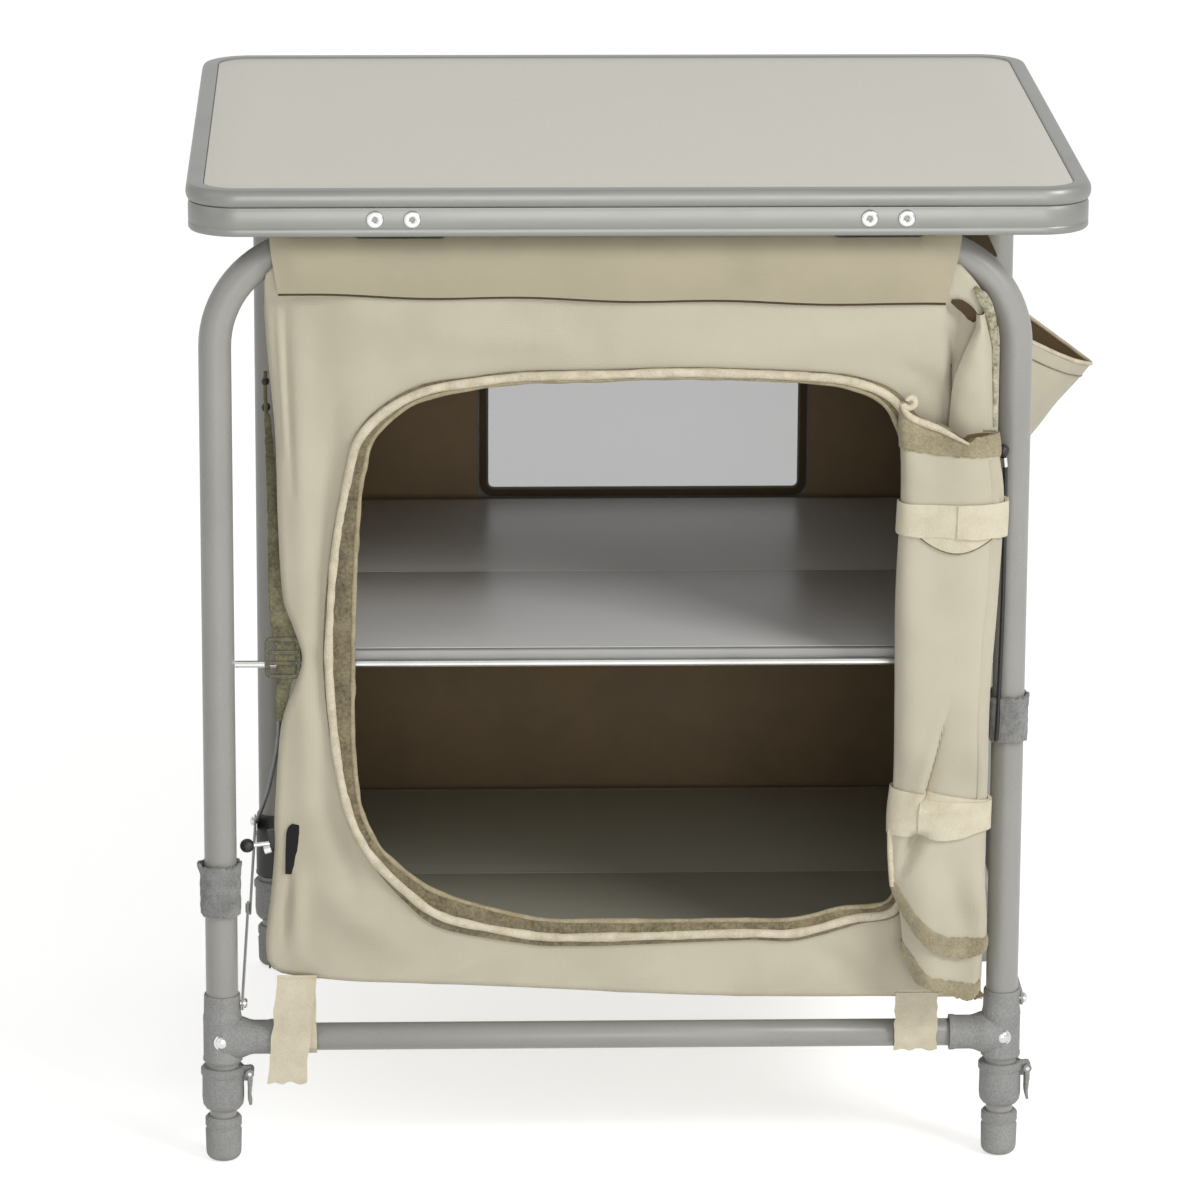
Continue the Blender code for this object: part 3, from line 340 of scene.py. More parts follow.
# Painted shade inside the bore of the eyelet rivets, which stays dark
HOLLOW = Finish("eyelet_bore_painted_shade", "black_plastic", "#3A3A38", "#1C1C1B", Grain.SPARK, 0.8, 0.05, 0.8)


@dataclass(frozen=True)
class Box:
    """Lowest and highest corner of a CAD node, in the shelf's own frame."""

    low: np.ndarray
    high: np.ndarray

    @property
    def middle(self) -> np.ndarray:
        """Centre of the box."""
        return (self.low + self.high) / 2

    @property
    def size(self) -> np.ndarray:
        """Length of the box along each axis."""
        return self.high - self.low


def shelf_shift() -> np.ndarray:
    """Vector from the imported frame's origin to the shelf's own, on the ground under the rim's middle."""
    low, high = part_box("table_rim")
    middle = (np.array(low) + np.array(high)) / 2
    return np.array([middle[0], middle[1], 0.0])


def cad(node: str) -> Box:
    """Box of a CAD node in the shelf's own frame."""
    shift = shelf_shift()
    return Box(*(np.array(corner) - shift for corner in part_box(node)))


# Shape functions: each gives whole arrays of points

def smoothstep(low: float, high: float, x: np.ndarray | float) -> np.ndarray:
    """Cubic step 3t^2 - 2t^3 with t = (x - low) / (high - low) held to 0..1; high may be below low."""
    t = np.clip((np.asarray(x, float) - low) / (high - low), 0, 1)
    return t * t * (3 - 2 * t)


def bell(x: np.ndarray, centre: float, width: float) -> np.ndarray:
    """Gaussian exp(-((x - centre) / width)^2)."""
    return np.exp(-((x - centre) / width) ** 2)


def unit(count: int) -> np.ndarray:
    """Even numbers from 0 to 1."""
    return np.linspace(0, 1, count)


def cross(u: np.ndarray, v: np.ndarray) -> list[np.ndarray]:
    """Two grids that carry u along their rows and v along their columns."""
    return np.meshgrid(u, v, indexing="ij")


def xyz(x: np.ndarray | float, y: np.ndarray | float, z: np.ndarray | float) -> np.ndarray:
    """Points from three coordinates, each a number or an array."""
    return np.stack(np.broadcast_arrays(x, y, z), -1)


def angles(count: int, start: float = 0, stop: float = 180) -> np.ndarray:
    """Even angles in radians from start to stop."""
    return np.radians(np.linspace(start, stop, count))


def ball(radius: float, height: float, count: int) -> list:
    """Profile of a ball for Skin.turn: (radius sin a, -height cos a) from pole to pole."""
    return [(radius * np.sin(a), -height * np.cos(a)) for a in angles(count)]


def widths(count: int, places: Sequence[float], values: Sequence[float]) -> np.ndarray:
    """Factors for a swept section: its width takes the values at places from 0 to 1, its height stays."""
    return np.column_stack([np.interp(unit(count), places, values), np.ones(count)])


def ripple(seed: int, a: np.ndarray, b: np.ndarray, wave: float, terms: int = 7) -> np.ndarray:
    """Soft unrepeating relief, mostly from -1 to 1: sines in seeded directions with lengths near wave.

    Args:
        seed: seed of the directions and phases.
        a: first coordinate of each point.
        b: second coordinate of each point.
        wave: typical wavelength.
        terms: number of sines.

    Returns:
        Heights, of the arrays' shape.
    """
    draw = np.random.default_rng(seed)
    total = np.zeros(np.broadcast(a, b).shape)
    for turn, phase, length in draw.uniform((0, 0, 0.6), (np.pi, 2 * np.pi, 1.6), (terms, 3)):
        total += np.sin(2 * np.pi * (a * np.cos(turn) + b * np.sin(turn)) / (wave * length) + phase)
    return total / np.sqrt(terms)


def arc(x: float, z: float, radius: float, start: float, stop: float, steps: int) -> np.ndarray:
    """Points of a plane arc about (x, z) from one angle to another, one more than its steps."""
    turn = angles(steps + 1, start, stop)
    return np.stack([x + radius * np.cos(turn), z + radius * np.sin(turn)], -1)


def outline(x0: float, x1: float, z0: float, z1: float, radii: Sequence[float], corner: int = 14,
            side: int = 18) -> np.ndarray:
    """Closed rectangle with rounded corners: four arcs joined by four sides, last point equal to the first.

    Args:
        x0: left edge.
        x1: right edge.
        z0: lower edge.
        z1: upper edge.
        radii: radius of the lower right, upper right, upper left and lower left corner.
        corner: chords in each corner.
        side: chords in each side.

    Returns:
        Points, anticlockwise from the lower right corner.
    """
    places = ((x1, z0, -1, 1, 270), (x1, z1, -1, -1, 0), (x0, z1, 1, -1, 90), (x0, z0, 1, 1, 180))
    arcs = [arc(x + sx * r, z + sz * r, r, start, start + 90, corner)
            for (x, z, sx, sz, start), r in zip(places, radii)]
    runs = []
    for this, following in zip(arcs, arcs[1:] + arcs[:1]):
        t = unit(side + 1)[1:-1, None]
        runs += [this, this[-1] * (1 - t) + following[0] * t]
    return np.concatenate([*runs, arcs[0][:1]])


def circle(radius: float, sides: int = 20) -> np.ndarray:
    """Closed circle as a section for a sweep."""
    return arc(0, 0, radius, 0, 360, sides)


def pill(width: float, height: float, radius: float, corner: int = 3) -> np.ndarray:
    """Closed rounded rectangle about the origin as a section for a sweep."""
    return outline(-width / 2, width / 2, -height / 2, height / 2, [radius] * 4, corner, 2)


def resample(points: Points, count: int) -> np.ndarray:
    """Even spacing by arc length along a smooth curve through the points (Catmull-Rom).

    Args:
        points: (n, d) control points.
        count: number of points wanted.

    Returns:
        (count, d) points.
    """
    points = np.asarray(points, float)
    p = with_ends(points, False)
    t = np.linspace(0, 1, SPLINE_STEPS, endpoint=False)[:, None, None]
    a, b, c, d = p[:-3], p[1:-2], p[2:-1], p[3:]
    square, cube = 2 * a - 5 * b + 4 * c - d, 3 * b - a - 3 * c + d
    fine = 0.5 * (2 * b + (c - a) * t + square * t ** 2 + cube * t ** 3)
    fine = np.concatenate([fine.transpose(1, 0, 2).reshape(-1, points.shape[1]), points[-1:]])
    run = np.concatenate([[0], np.cumsum(np.linalg.norm(np.diff(fine, axis=0), axis=1))])
    at = np.linspace(0, run[-1], count)
    return np.stack([np.interp(at, run, fine[:, k]) for k in range(points.shape[1])], -1)


def with_ends(p: np.ndarray, wrap: bool) -> np.ndarray:
    """Adds a row before and after: the neighbour across the seam where it wraps, or one further on."""
    ends = (p[-2:-1], p[1:2]) if wrap else (2 * p[:1] - p[1:2], 2 * p[-1:] - p[-2:-1])
    return np.concatenate([ends[0], p, ends[1]])


def surface_normals(p: np.ndarray, wrap: bool) -> np.ndarray:
    """Unit cross products of the central differences along both parameters.

    Args:
        p: (m, n, 3) grid.
        wrap: True where the last row along the first parameter is the first row again.

    Returns:
        (m, n, 3) unit vectors.
    """
    rows = with_ends(p, wrap)
    n = np.cross(rows[2:] - rows[:-2], np.gradient(p, axis=1))
    return n / np.maximum(np.linalg.norm(n, axis=-1, keepdims=True), 1e-12)


def arc_lengths(p: np.ndarray) -> np.ndarray:
    """UVs in metres: running length along each parameter, averaged over the other.

    Args:
        p: (m, n, 3) grid.

    Returns:
        (m, n, 2) coordinates.
    """
    u = np.linalg.norm(np.diff(p, axis=0), axis=-1).mean(1)
    v = np.linalg.norm(np.diff(p, axis=1), axis=-1).mean(0)
    return np.stack(cross(np.append(0, np.cumsum(u)), np.append(0, np.cumsum(v))), -1)


def sweep_points(path: Points, section: np.ndarray, up: Sequence[float],
                 scale: np.ndarray | None = None) -> np.ndarray:
    """Carries a section along a path: point = path + side * s0 + upward * s1, with side = tangent x up.

    Args:
        path: (n, 3) points.
        section: (k, 2) points of the section.
        up: direction that stays in the section's plane.
        scale: (n, 2) factors for the section's two coordinates, or None.

    Returns:
        (n, k, 3) grid.
    """
    path = np.asarray(path, float)
    rows = with_ends(path, np.allclose(path[0], path[-1]))
    tangent = rows[2:] - rows[:-2]
    side = np.cross(tangent, np.asarray(up, float))
    side /= np.linalg.norm(side, axis=1, keepdims=True)
    upward = np.cross(side, tangent)
    upward /= np.linalg.norm(upward, axis=1, keepdims=True)
    scale = np.ones((len(path), 2)) if scale is None else scale
    flat = section[None] * scale[:, None]
    return path[:, None] + side[:, None] * flat[..., :1] + upward[:, None] * flat[..., 1:]


class Hold(Enum):
    """How a sheet of cloth is held."""

    HUNG = "hung"
    FOLDED = "folded"
    STRETCHED = "stretched"


@dataclass(frozen=True)
class Cut:
    """Flat size in metres that a cloth piece was cut to, with its turned edges, and what holds it."""

    width: float
    length: float
    held: Hold
    on: str
    area: float | None = None


@dataclass
class Skin:
    """Grids of points gathered into one mesh with UVs in metres."""

    points: list = field(default_factory=list)
    quads: list = field(default_factory=list)
    uvs: list = field(default_factory=list)
    slots: list = field(default_factory=list)
    count: int = 0

    def grid(self, p: np.ndarray, slot: int = 0, uv: np.ndarray | None = None) -> "Skin":
        """Adds a grid of quads.

        Args:
            p: (m, n, 3) points.
            slot: number of the finish.
            uv: (m, n, 2) coordinates, or None for arc lengths.

        Returns:
            The skin itself.
        """
        m, n = p.shape[:2]
        index = np.arange(m * n).reshape(m, n)
        quads = np.stack([index[:-1, :-1], index[1:, :-1], index[1:, 1:], index[:-1, 1:]], -1).reshape(-1, 4)
        uv = arc_lengths(p) if uv is None else uv
        self.points.append(p.reshape(-1, 3))
        self.quads.append(quads + self.count)
        self.uvs.append(uv.reshape(-1, 2)[quads.ravel()])
        self.slots.append(np.full(len(quads), slot))
        self.count += m * n
        return self

    def cap(self, ring: np.ndarray, slot: int = 0) -> "Skin":
        """Closes a ring with a fan to its middle."""
        middle = np.broadcast_to(ring[:-1].mean(0), ring.shape)
        return self.grid(np.stack([ring, middle]), slot)

    def sweep(self, path: Points, section: np.ndarray, up: Sequence[float], slot: int = 0,
              scale: np.ndarray | None = None) -> "Skin":
        """Adds a section carried along a path, with both ends closed where the path is open.

        Args:
            path: (n, 3) points.
            section: (k, 2) closed section.
            up: direction that stays in the section's plane.
            slot: number of the finish.
            scale: (n, 2) factors for the section's two coordinates, or None.

        Returns:
            The skin itself.
        """
        p = sweep_points(path, section, up, scale)
        self.grid(p, slot)
        if not np.allclose(path[0], path[-1]):
            self.cap(p[0], slot)
            self.cap(p[-1], slot)
        return self

    def turn(self, profile: Points, origin: Sequence[float], axis: Sequence[float] = Z_AXIS,
             steps: int = 28, slot: int = 0) -> "Skin":
        """Adds a profile turned about an axis: origin + axis h + (e1 cos + e2 sin) r.

        Args:
            profile: (radius, height) pairs.
            origin: point on the axis at height 0.
            axis: direction of the height.
            steps: number of faces round the axis.
            slot: number of the finish.

        Returns:
            The skin itself.
        """
        axis = np.asarray(axis, float)
        e1 = np.cross(axis, Y_AXIS if abs(axis[1]) < 0.9 else X_AXIS)
        e2 = np.cross(axis, e1)
        turn = angles(steps + 1, 0, 360)[:, None, None]
        r, h = np.asarray(profile, float).T
        ring = np.cos(turn) * e1 + np.sin(turn) * e2
        return self.grid(np.asarray(origin, float) + axis * h[:, None] + ring * r[:, None], slot)

    def slab(self, p: np.ndarray, thickness: float, wrap: bool = False, uv: np.ndarray | None = None,
             slot: int = 0, back: int = 0) -> "Skin":
        """Adds a closed sheet: both faces half its thickness off a grid, joined round the free edges.

        Args:
            p: (m, n, 3) grid.
            thickness: thickness of the sheet.
            wrap: True where the last row is the first again.
            uv: (m, n, 2) coordinates, or None for arc lengths.
            slot: finish of the face that the normals point to, and of the edges.
            back: finish of the other face.

        Returns:
            The skin itself.
        """
        uv = arc_lengths(p) if uv is None else uv
        off = surface_normals(p, wrap) * thickness / 2
        a, b = p + off, p - off
        self.grid(a, slot, uv)
        self.grid(b, back, uv)
        for k in (0, -1):
            self.grid(np.stack([a[:, k], b[:, k]]), slot)
            if not wrap:
                self.grid(np.stack([a[k], b[k]]), slot)
        return self

    def lined(self, p: np.ndarray, thickness: float, wrap: bool, uv: np.ndarray | None,
              outward: bool) -> "Skin":
        """Adds a slab with finish 0 outside and 1 inside; outward tells where the grid's normals point."""
        return self.slab(p, thickness, wrap, uv, int(not outward), int(outward))

    def piece(self, name: str, body: str, finishes: Sequence[Finish], replaces: Sequence[str] = (),
              sharp: float = 50.0, cut: Cut | None = None) -> bpy.types.Object:
        """Makes the mesh, merges its seams, turns its faces outward and hangs it on a body.

        Args:
            name: name of the object.
            body: CAD body that it moves with.
            finishes: finishes by number.
            replaces: CAD nodes that it stands for.
            sharp: angle past which an edge is shaded sharp.
            cut: flat size of the cloth, for a piece that is a sheet; not used.

        Returns:
            The finished object.
        """
        points = np.concatenate(self.points) + shelf_shift()
        quads = np.concatenate(self.quads).astype(np.int32)
        mesh = bpy.data.meshes.new(name)
        mesh.vertices.add(len(points))
        mesh.vertices.foreach_set("co", points.astype(np.float32).ravel())
        mesh.loops.add(quads.size)
        mesh.loops.foreach_set("vertex_index", quads.ravel())
        mesh.polygons.add(len(quads))
        mesh.polygons.foreach_set("loop_start", np.arange(0, quads.size, 4, dtype=np.int32))
        mesh.polygons.foreach_set("material_index", np.concatenate(self.slots).astype(np.int32))
        mesh.update(calc_edges=True)
        layer = mesh.uv_layers.new(name="UVMap")
        layer.data.foreach_set("uv", np.concatenate(self.uvs).astype(np.float32).ravel())
        bm = bmesh.new()
        bm.from_mesh(mesh)
        bmesh.ops.remove_doubles(bm, verts=bm.verts, dist=WELD)
        bmesh.ops.recalc_face_normals(bm, faces=bm.faces)
        bm.to_mesh(mesh)
        bm.free()
        mesh.shade_smooth()
        mesh.set_sharp_from_angle(angle=np.radians(sharp))
        for finish in finishes:
            mesh.materials.append(finish.material())
        made = hang(name, mesh)
        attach(made, body)
        if replaces:
            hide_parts(*replaces)
        LOG.info("%s: %d faces on %s", name, len(mesh.polygons), body)
        return made


def crumple(piece: bpy.types.Object) -> None:
    """Gives a fabric piece its own copy of its mesh data."""
    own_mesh(piece)


@dataclass
class TableTop:
    """Rimmed table top with its laminate board and eyelet rivets."""

    corner_r: float = 0.035
    bead: float = 0.0118
    lip: float = 0.0118
    step: float = 0.0015
    wall: float = 0.0045
    ledge: float = 0.01
    nose: float = 0.0033
    rivet_x: tuple = (0.1505, 0.175)
    rivet_drop: float = 0.0195

    def ring(self, inset: float, z: float) -> np.ndarray:
        """Closed plan outline at an inset from the rim's outer face, at one height.

        Args:
            inset: distance inside the rim's outer face.
            z: height.

        Returns:
            (n, 3) points.
        """
        rim = cad("table_rim")
        x, y = rim.high[0] - inset, rim.high[1] - inset
        flat = outline(-x, x, -y, y, [max(self.corner_r - inset, 0.004)] * 4, 12, 10)
        return np.column_stack([flat, np.full(len(flat), z)])

    def rim(self) -> None:
        """Section of the rim, as (inset, height) pairs, carried round the plan outline."""
        box = cad("table_rim")
        top, low = box.high[2], box.low[2]
        bead_low, r = top - self.bead, self.bead / 2
        nose = [(self.nose - self.nose * np.cos(t), top - r + r * np.sin(t)) for t in angles(13, 90, -90)]
        skirt = [(self.step + 0.0006, bead_low - 0.0001), (self.step + 0.0004, bead_low - 0.0012),
                 (self.step, bead_low - 0.0022), (self.step, low + 0.006),
                 (self.step + 0.0004, low + 0.0052), (self.step, low + 0.0044), (self.step, low + 0.0012),
                 (self.step + 0.001, low)]
        inner = self.step + self.wall
        ledge_z = cad("table_board").low[2] - 0.0003
        inside = [(inner - 0.001, low), (inner, low + 0.0012), (inner, ledge_z - 0.003),
                  (self.lip + self.ledge, ledge_z - 0.003), (self.lip + self.ledge, ledge_z),
                  (self.lip, ledge_z), (self.lip, top - 0.001), (self.lip - 0.001, top)]
        section = [*nose, *skirt, *inside, nose[0]]
        grid = np.stack([self.ring(inset, z) for inset, z in section], 1)
        Skin().grid(grid).piece("table_rim_section", "table_top", [ALUMINIUM], ["table_rim"], 40)

    def board(self) -> None:
        """Laminate board: rounded plan with a small rounded upper edge, closed underneath."""
        box = cad("table_board")
        edge = self.lip + 0.0003
        top, low = box.high[2], box.low[2]
        rows = [(edge + 0.12, low), (edge, low), (edge, top - 0.0008), (edge + 0.0003, top - 0.0002),
                (edge + 0.001, top), (edge + 0.03, top), (edge + 0.12, top)]
        grid = np.stack([self.ring(inset, z) for inset, z in rows], 1)
        skin = Skin().grid(grid)
        skin.cap(grid[:, 0]).cap(grid[:, -1])
        skin.piece("table_laminate_board", "table_top", [LAMINATE], ["table_board"], 40)

    def rivets(self) -> None:
        """Eyelet rivets: a rolled head round a bore, turned about Y, with a dark plug behind the bore as
        painted shade in the hole.
        """
        rim = cad("table_rim")
        face = rim.low[1] + self.step
        z = rim.high[2] - self.rivet_drop
        roll = [(0.0037 + 0.0021 * np.cos(t), 0.0003 + 0.0016 * np.sin(t)) for t in angles(11)]
        head = [(0.0061, -0.0004), *roll, (0.0016, -0.003), (0.0026, -0.0034), (0.003, -0.0004),
                (0.0061, -0.0004)]
        bore = [(0, -0.0022), (0.0017, -0.0022), (0.0017, -0.0034), (0, -0.0034), (0, -0.0022)]
        spots = (-self.rivet_x[1], -self.rivet_x[0], *self.rivet_x)
        for number, x in enumerate(spots, 1):
            # The dark plug in each bore is painted shade.
            skin = Skin().turn(head, (x, face, z), (0, -1, 0), 24).turn(bore, (x, face, z), (0, -1, 0), 12, 1)
            skin.piece(f"eyelet_rivet_{number}", "table_top", [ZINC, HOLLOW], [f"rim_rivet_{number}"])

    def build(self) -> None:
        """Builds and dresses the whole top."""
        self.rim()
        self.board()
        self.rivets()


@dataclass
class TubeFrame:
    """One U frame with its rail, tees, collars, boots and levers."""

    side_of_middle: int
    bend_r: float = 0.07
    tee_r: float = 0.0132
    arm: float = 0.036
    collar_r: float = 0.015
    rail_z: float = 0.0875
    pin_out: float = 0.0185
    pin_z: float = 0.0625
    stay_pin_z: float = 0.112

    @property
    def word(self) -> str:
        """Name of the frame."""
        return "front" if self.side_of_middle < 0 else "rear"

    @property
    def body(self) -> str:
        """Body that the frame's pieces ride on."""
        return f"{self.word}_frame"

    @property
    def tube(self) -> Box:
        """Box of the bent tube."""
        return cad(f"{self.word}_u_tube")

    @property
    def y(self) -> float:
        """Plane of the frame."""
        return float(self.tube.middle[1])

    def corner(self, side: int) -> str:
        """Name of the frame's corner on a side."""
        return f"{self.word}_{WORD[side]}"

    def leg_x(self, side: int) -> float:
        """X of the leg's axis on a side."""
        return float(self.tube.low[0] + TUBE_R if side < 0 else self.tube.high[0] - TUBE_R)

    def bent_tube(self) -> None:
        """Circle of the tube's radius carried up one leg, round two arcs and down the other leg."""
        box, r = self.tube, self.bend_r
        left, right = self.leg_x(LEFT), self.leg_x(RIGHT)
        top, low = box.high[2] - TUBE_R, box.low[2]
        rise = np.column_stack([np.full(10, left), np.linspace(low, top - r, 10)])
        flat = np.column_stack([np.linspace(left + r, right - r, 8), np.full(8, top)])
        line = np.concatenate([rise[:-1], arc(left + r, top - r, r, 180, 90, 18), flat[1:-1],
                               arc(right - r, top - r, r, 90, 0, 18),
                               rise[::-1][1:] * (-1, 1) + (left + right, 0)])
        path = xyz(line[:, 0], self.y, line[:, 1])
        skin = Skin().sweep(path, circle(TUBE_R, 28), Y_AXIS)
        skin.piece(f"{self.word}_bent_tube", self.body, [PAINT], [f"{self.word}_u_tube"])

    def rail(self) -> None:
        """Straight tube between the legs."""
        box = cad(f"{self.word}_rail")
        r = box.size[2] / 2
        length = box.size[0]
        profile = [(r - 0.0012, 0), (r - 0.0003, 0), (r, 0.0003), (r, length - 0.0003), (r - 0.0003, length),
                   (r - 0.0012, length), (r - 0.0012, 0)]
        Skin().turn(profile, (box.low[0], self.y, self.rail_z), X_AXIS, 28).piece(
            f"{self.word}_rail_tube", self.body, [PAINT], [f"{self.word}_rail"])

    def tee(self, side: int) -> None:
        """Moulded tee: a turned collar, an arm that waists between collar and mouth, and a pin neck.

        Args:
            side: LEFT or RIGHT.
        """
        corner = self.corner(side)
        x, z, r = self.leg_x(side), self.rail_z, self.tee_r
        box = cad(f"{corner}_tee")
        low, bore = box.low[2], TUBE_R + 0.0002
        high = z + 0.017
        neck = [(r + 0.0002, high - 0.003), (r - 0.0002, high), (0.0127, high + 0.0012),
                (0.0125, box.high[2] - 0.001), (0.0122, box.high[2])]
        collar = [(bore, low), (r - 0.0006, low), (r + 0.0004, low + 0.0012), (r + 0.0004, low + 0.003),
                  (r, low + 0.0042), (r, high - 0.0042), *neck, (bore, box.high[2]), (bore, low)]
        finish = NYLON if self.side_of_middle < 0 else ACETAL
        skin = Skin().turn(collar, (x, self.y, 0), steps=32)
        along = np.linspace(0.0, self.arm, 16)
        flare = 0.015 - 0.0032 * smoothstep(0.01, 0.022, along) + 0.0006 * smoothstep(0.031, 0.033, along)
        arm = [(0.0, 0.0), *zip(flare, along), (0.0098, self.arm), (0.0098, self.arm - 0.004),
               (0.0, self.arm - 0.004), (0.0, 0.0)]
        skin.turn(arm, (x, self.y, z), (-side, 0, 0), 28)
        toward = np.sign(STAY_X * side - x)
        pin = [(0, 0.0), (0.0021, 0.0), (0.0021, 0.015), (0.0036, 0.015), (0.0036, 0.016), (0.0024, 0.0172),
               (0, 0.0176)]
        skin.turn(pin, (x, self.y, self.stay_pin_z), (toward, 0, 0), 16, 1)
        skin.piece(f"{corner}_moulded_tee", self.body, [finish, ZINC], [f"{corner}_tee"], 40)
        if self.side_of_middle < 0:
            self.tee_rivet(WORD[side])

    def tee_rivet(self, word: str) -> None:
        """Domed rivet: a quarter ellipse and a flat washer, turned about Y.

        Args:
            word: name of the side.
        """
        head = cad(f"{word}_tee_rivet")
        reach = head.size[1] / 2
        dome = [(0.0046 * np.cos(t), reach - 0.0026 + 0.0026 * np.sin(t)) for t in angles(8, 90, 0)]
        washer = [(0.0058, reach - 0.0026), (0.0058, reach - 0.0034), (0, reach - 0.0034)]
        skin = Skin()
        for way in (-1, 1):
            skin.turn([*dome, *washer], (head.middle[0], self.y, head.middle[2]), (0, way, 0), 22)
        skin.piece(f"{word}_domed_rivet", self.body, [ZINC], [f"{word}_tee_rivet"], 40)

    def collar(self, side: int) -> None:
        """Clamp collar: a turned body with an upper lip and a drawn-in foot, a clamping lug and its pin.

        Args:
            side: LEFT or RIGHT.
        """
        corner = self.corner(side)
        box = cad(f"{corner}_clamp_collar")
        x, low, high, r = self.leg_x(side), box.low[2], box.high[2], self.collar_r
        body = [(TUBE_R + 0.0003, high), (r - 0.0012, high), (r + 0.0002, high - 0.0014),
                (r + 0.0002, high - 0.0052), (r - 0.0008, high - 0.0064), (r - 0.0006, low + 0.0082),
                (r - 0.0012, low + 0.0034), (r - 0.0032, low + 0.0006), (r - 0.0044, low), (0.0096, low),
                (0.0096, high)]
        skin = Skin().turn([*body, body[0]], (x, self.y, 0), steps=36)
        lug_z = self.pin_z - 0.001
        lug = [(x + 0.01, self.y, lug_z), (x + 0.0192, self.y, lug_z)]
        skin.sweep(lug, pill(0.0046, 0.011, 0.0015), Z_AXIS)
        pin = [(0, 0), (0.0015, 0), (0.0015, 0.0134), (0, 0.0134)]
        skin.turn(pin, (x + self.pin_out, self.y - 0.0067, self.pin_z), Y_AXIS, 12, 1)
        skin.piece(f"{corner}_collar_moulding", self.body, [NYLON, ZINC], [f"{corner}_clamp_collar"], 40)

    def lever(self, side: int) -> None:
        """Cam lever: two cheeks round the pin and a finger blade that curls outward at its end.

        Args:
            side: LEFT or RIGHT.
        """
        corner = self.corner(side)
        box = cad(f"{corner}_clamp_lever")
        x, top = self.leg_x(side) + self.pin_out, self.pin_z
        line = resample([(0.0, -0.007), (-0.0002, -0.012), (-0.0004, -0.018), (0.0004, -0.0226)], 12)
        path = xyz(x + line[:, 0], self.y, top + line[:, 1])
        grow = np.column_stack([np.linspace(1.0, 0.62, 12), np.linspace(1.0, 0.86, 12)])
        skin = Skin().sweep(path, pill(0.0032, box.size[1], 0.0012), Y_AXIS, scale=grow)
        cheek = [(0.0016, 0), (0.0029, 0), (0.0029, 0.0034), (0.0016, 0.0034), (0.0016, 0)]
        for way in (-1, 1):
            start = self.y + way * (box.size[1] / 2 - 0.0036) - 0.0017 * (1 - way)
            skin.turn(cheek, (x, start, top), Y_AXIS, 18)
            arm_y = self.y + way * (box.size[1] / 2 - 0.002)
            skin.sweep([(x, arm_y, top - 0.0018), (x, arm_y, top - 0.0085)], pill(0.0034, 0.0034, 0.001),
                       Y_AXIS)
        skin.piece(f"{corner}_cam_lever", f"{corner}_lever", [NYLON], [f"{corner}_clamp_lever"], 40)

    def boot(self, side: int) -> None:
        """Boot on its foot tube: shoulder, shallow band and rounded sole, turned about the leg.

        Args:
            side: LEFT or RIGHT.
        """
        corner = self.corner(side)
        box = cad(f"{corner}_boot_tube")
        x, r = self.leg_x(side), box.size[0] / 2
        curve = [(r - 0.0056 + 0.0052 * np.sin(t), 0.0056 - 0.0056 * np.cos(t)) for t in angles(7, 20, 90)]
        wall = [(r, 0.021), (r - 0.0007, 0.0222), (r - 0.0007, 0.0236), (r, 0.0246), (r, 0.0296),
                (r - 0.0014, 0.0312), (0.0093, 0.0312)]
        tube = [(0.0093, box.high[2] - 0.0005), (0.0089, box.high[2]), (0.0, box.high[2])]
        skin = Skin().turn([(0, 0.0), (r - 0.0056, 0.0), *curve, *wall], (x, self.y, 0), steps=32)
        skin.turn([(0, 0.031), (0.0092, 0.031), *tube], (x, self.y, 0), steps=28, slot=1)
        skin.piece(f"{corner}_rubber_boot", f"{corner}_foot", [RUBBER, PAINT], [f"{corner}_boot_tube"], 40)

    def build(self) -> None:
        """Builds the frame with its four corners' fittings."""
        self.bent_tube()
        self.rail()
        for side in (LEFT, RIGHT):
            self.tee(side)
            self.collar(side)
            self.lever(side)
            self.boot(side)


def closed_line(runs: Sequence[Run], count: int) -> np.ndarray:
    """Smooth closed line through runs of points, with the same number of places in every run.

    Args:
        runs: runs of points; each begins at a corner that other lines share.
        count: places in each run.

    Returns:
        (runs * count + 1, 2) points, the last equal to the first.
    """
    whole = np.concatenate([np.asarray(run, float) for run in runs])
    starts = np.cumsum([0] + [len(run) for run in runs])
    around = np.concatenate([whole[-2:], whole, whole[:3]])
    search_steps, keep_every = 60, 6
    parts = []
    for first, last in zip(starts[:-1], starts[1:]):
        dense = resample(around[first:last + 5], (last - first + 4) * search_steps + 1)
        a = np.argmin(np.linalg.norm(dense - around[first + 2], axis=1))
        b = np.argmin(np.linalg.norm(dense - around[last + 2], axis=1))
        parts.append(resample(dense[a:b + 1:keep_every], count + 1)[:-1])
    line = np.concatenate(parts)
    return np.concatenate([line, line[:1]])


@dataclass(frozen=True)
class Fold:
    """Soft ridge along a straight line on a wall: a bell across it that fades to its ends."""

    start: tuple[float, float]
    end: tuple[float, float]
    width: float
    height: float

    def relief(self, x: np.ndarray, z: np.ndarray) -> np.ndarray:
        """Height of the ridge at places on the wall.

        Args:
            x: places across the wall.
            z: heights on the wall.

        Returns:
            Height out of the wall.
        """
        a, b = np.array(self.start), np.array(self.end)
        d = b - a
        near = np.clip(((x - a[0]) * d[0] + (z - a[1]) * d[1]) / (d @ d), 0, 1)
        off = np.hypot(x - a[0] - near * d[0], z - a[1] - near * d[1])
        return self.height * bell(off, 0, self.width) * (0.35 + 0.65 * np.sin(np.pi * near))


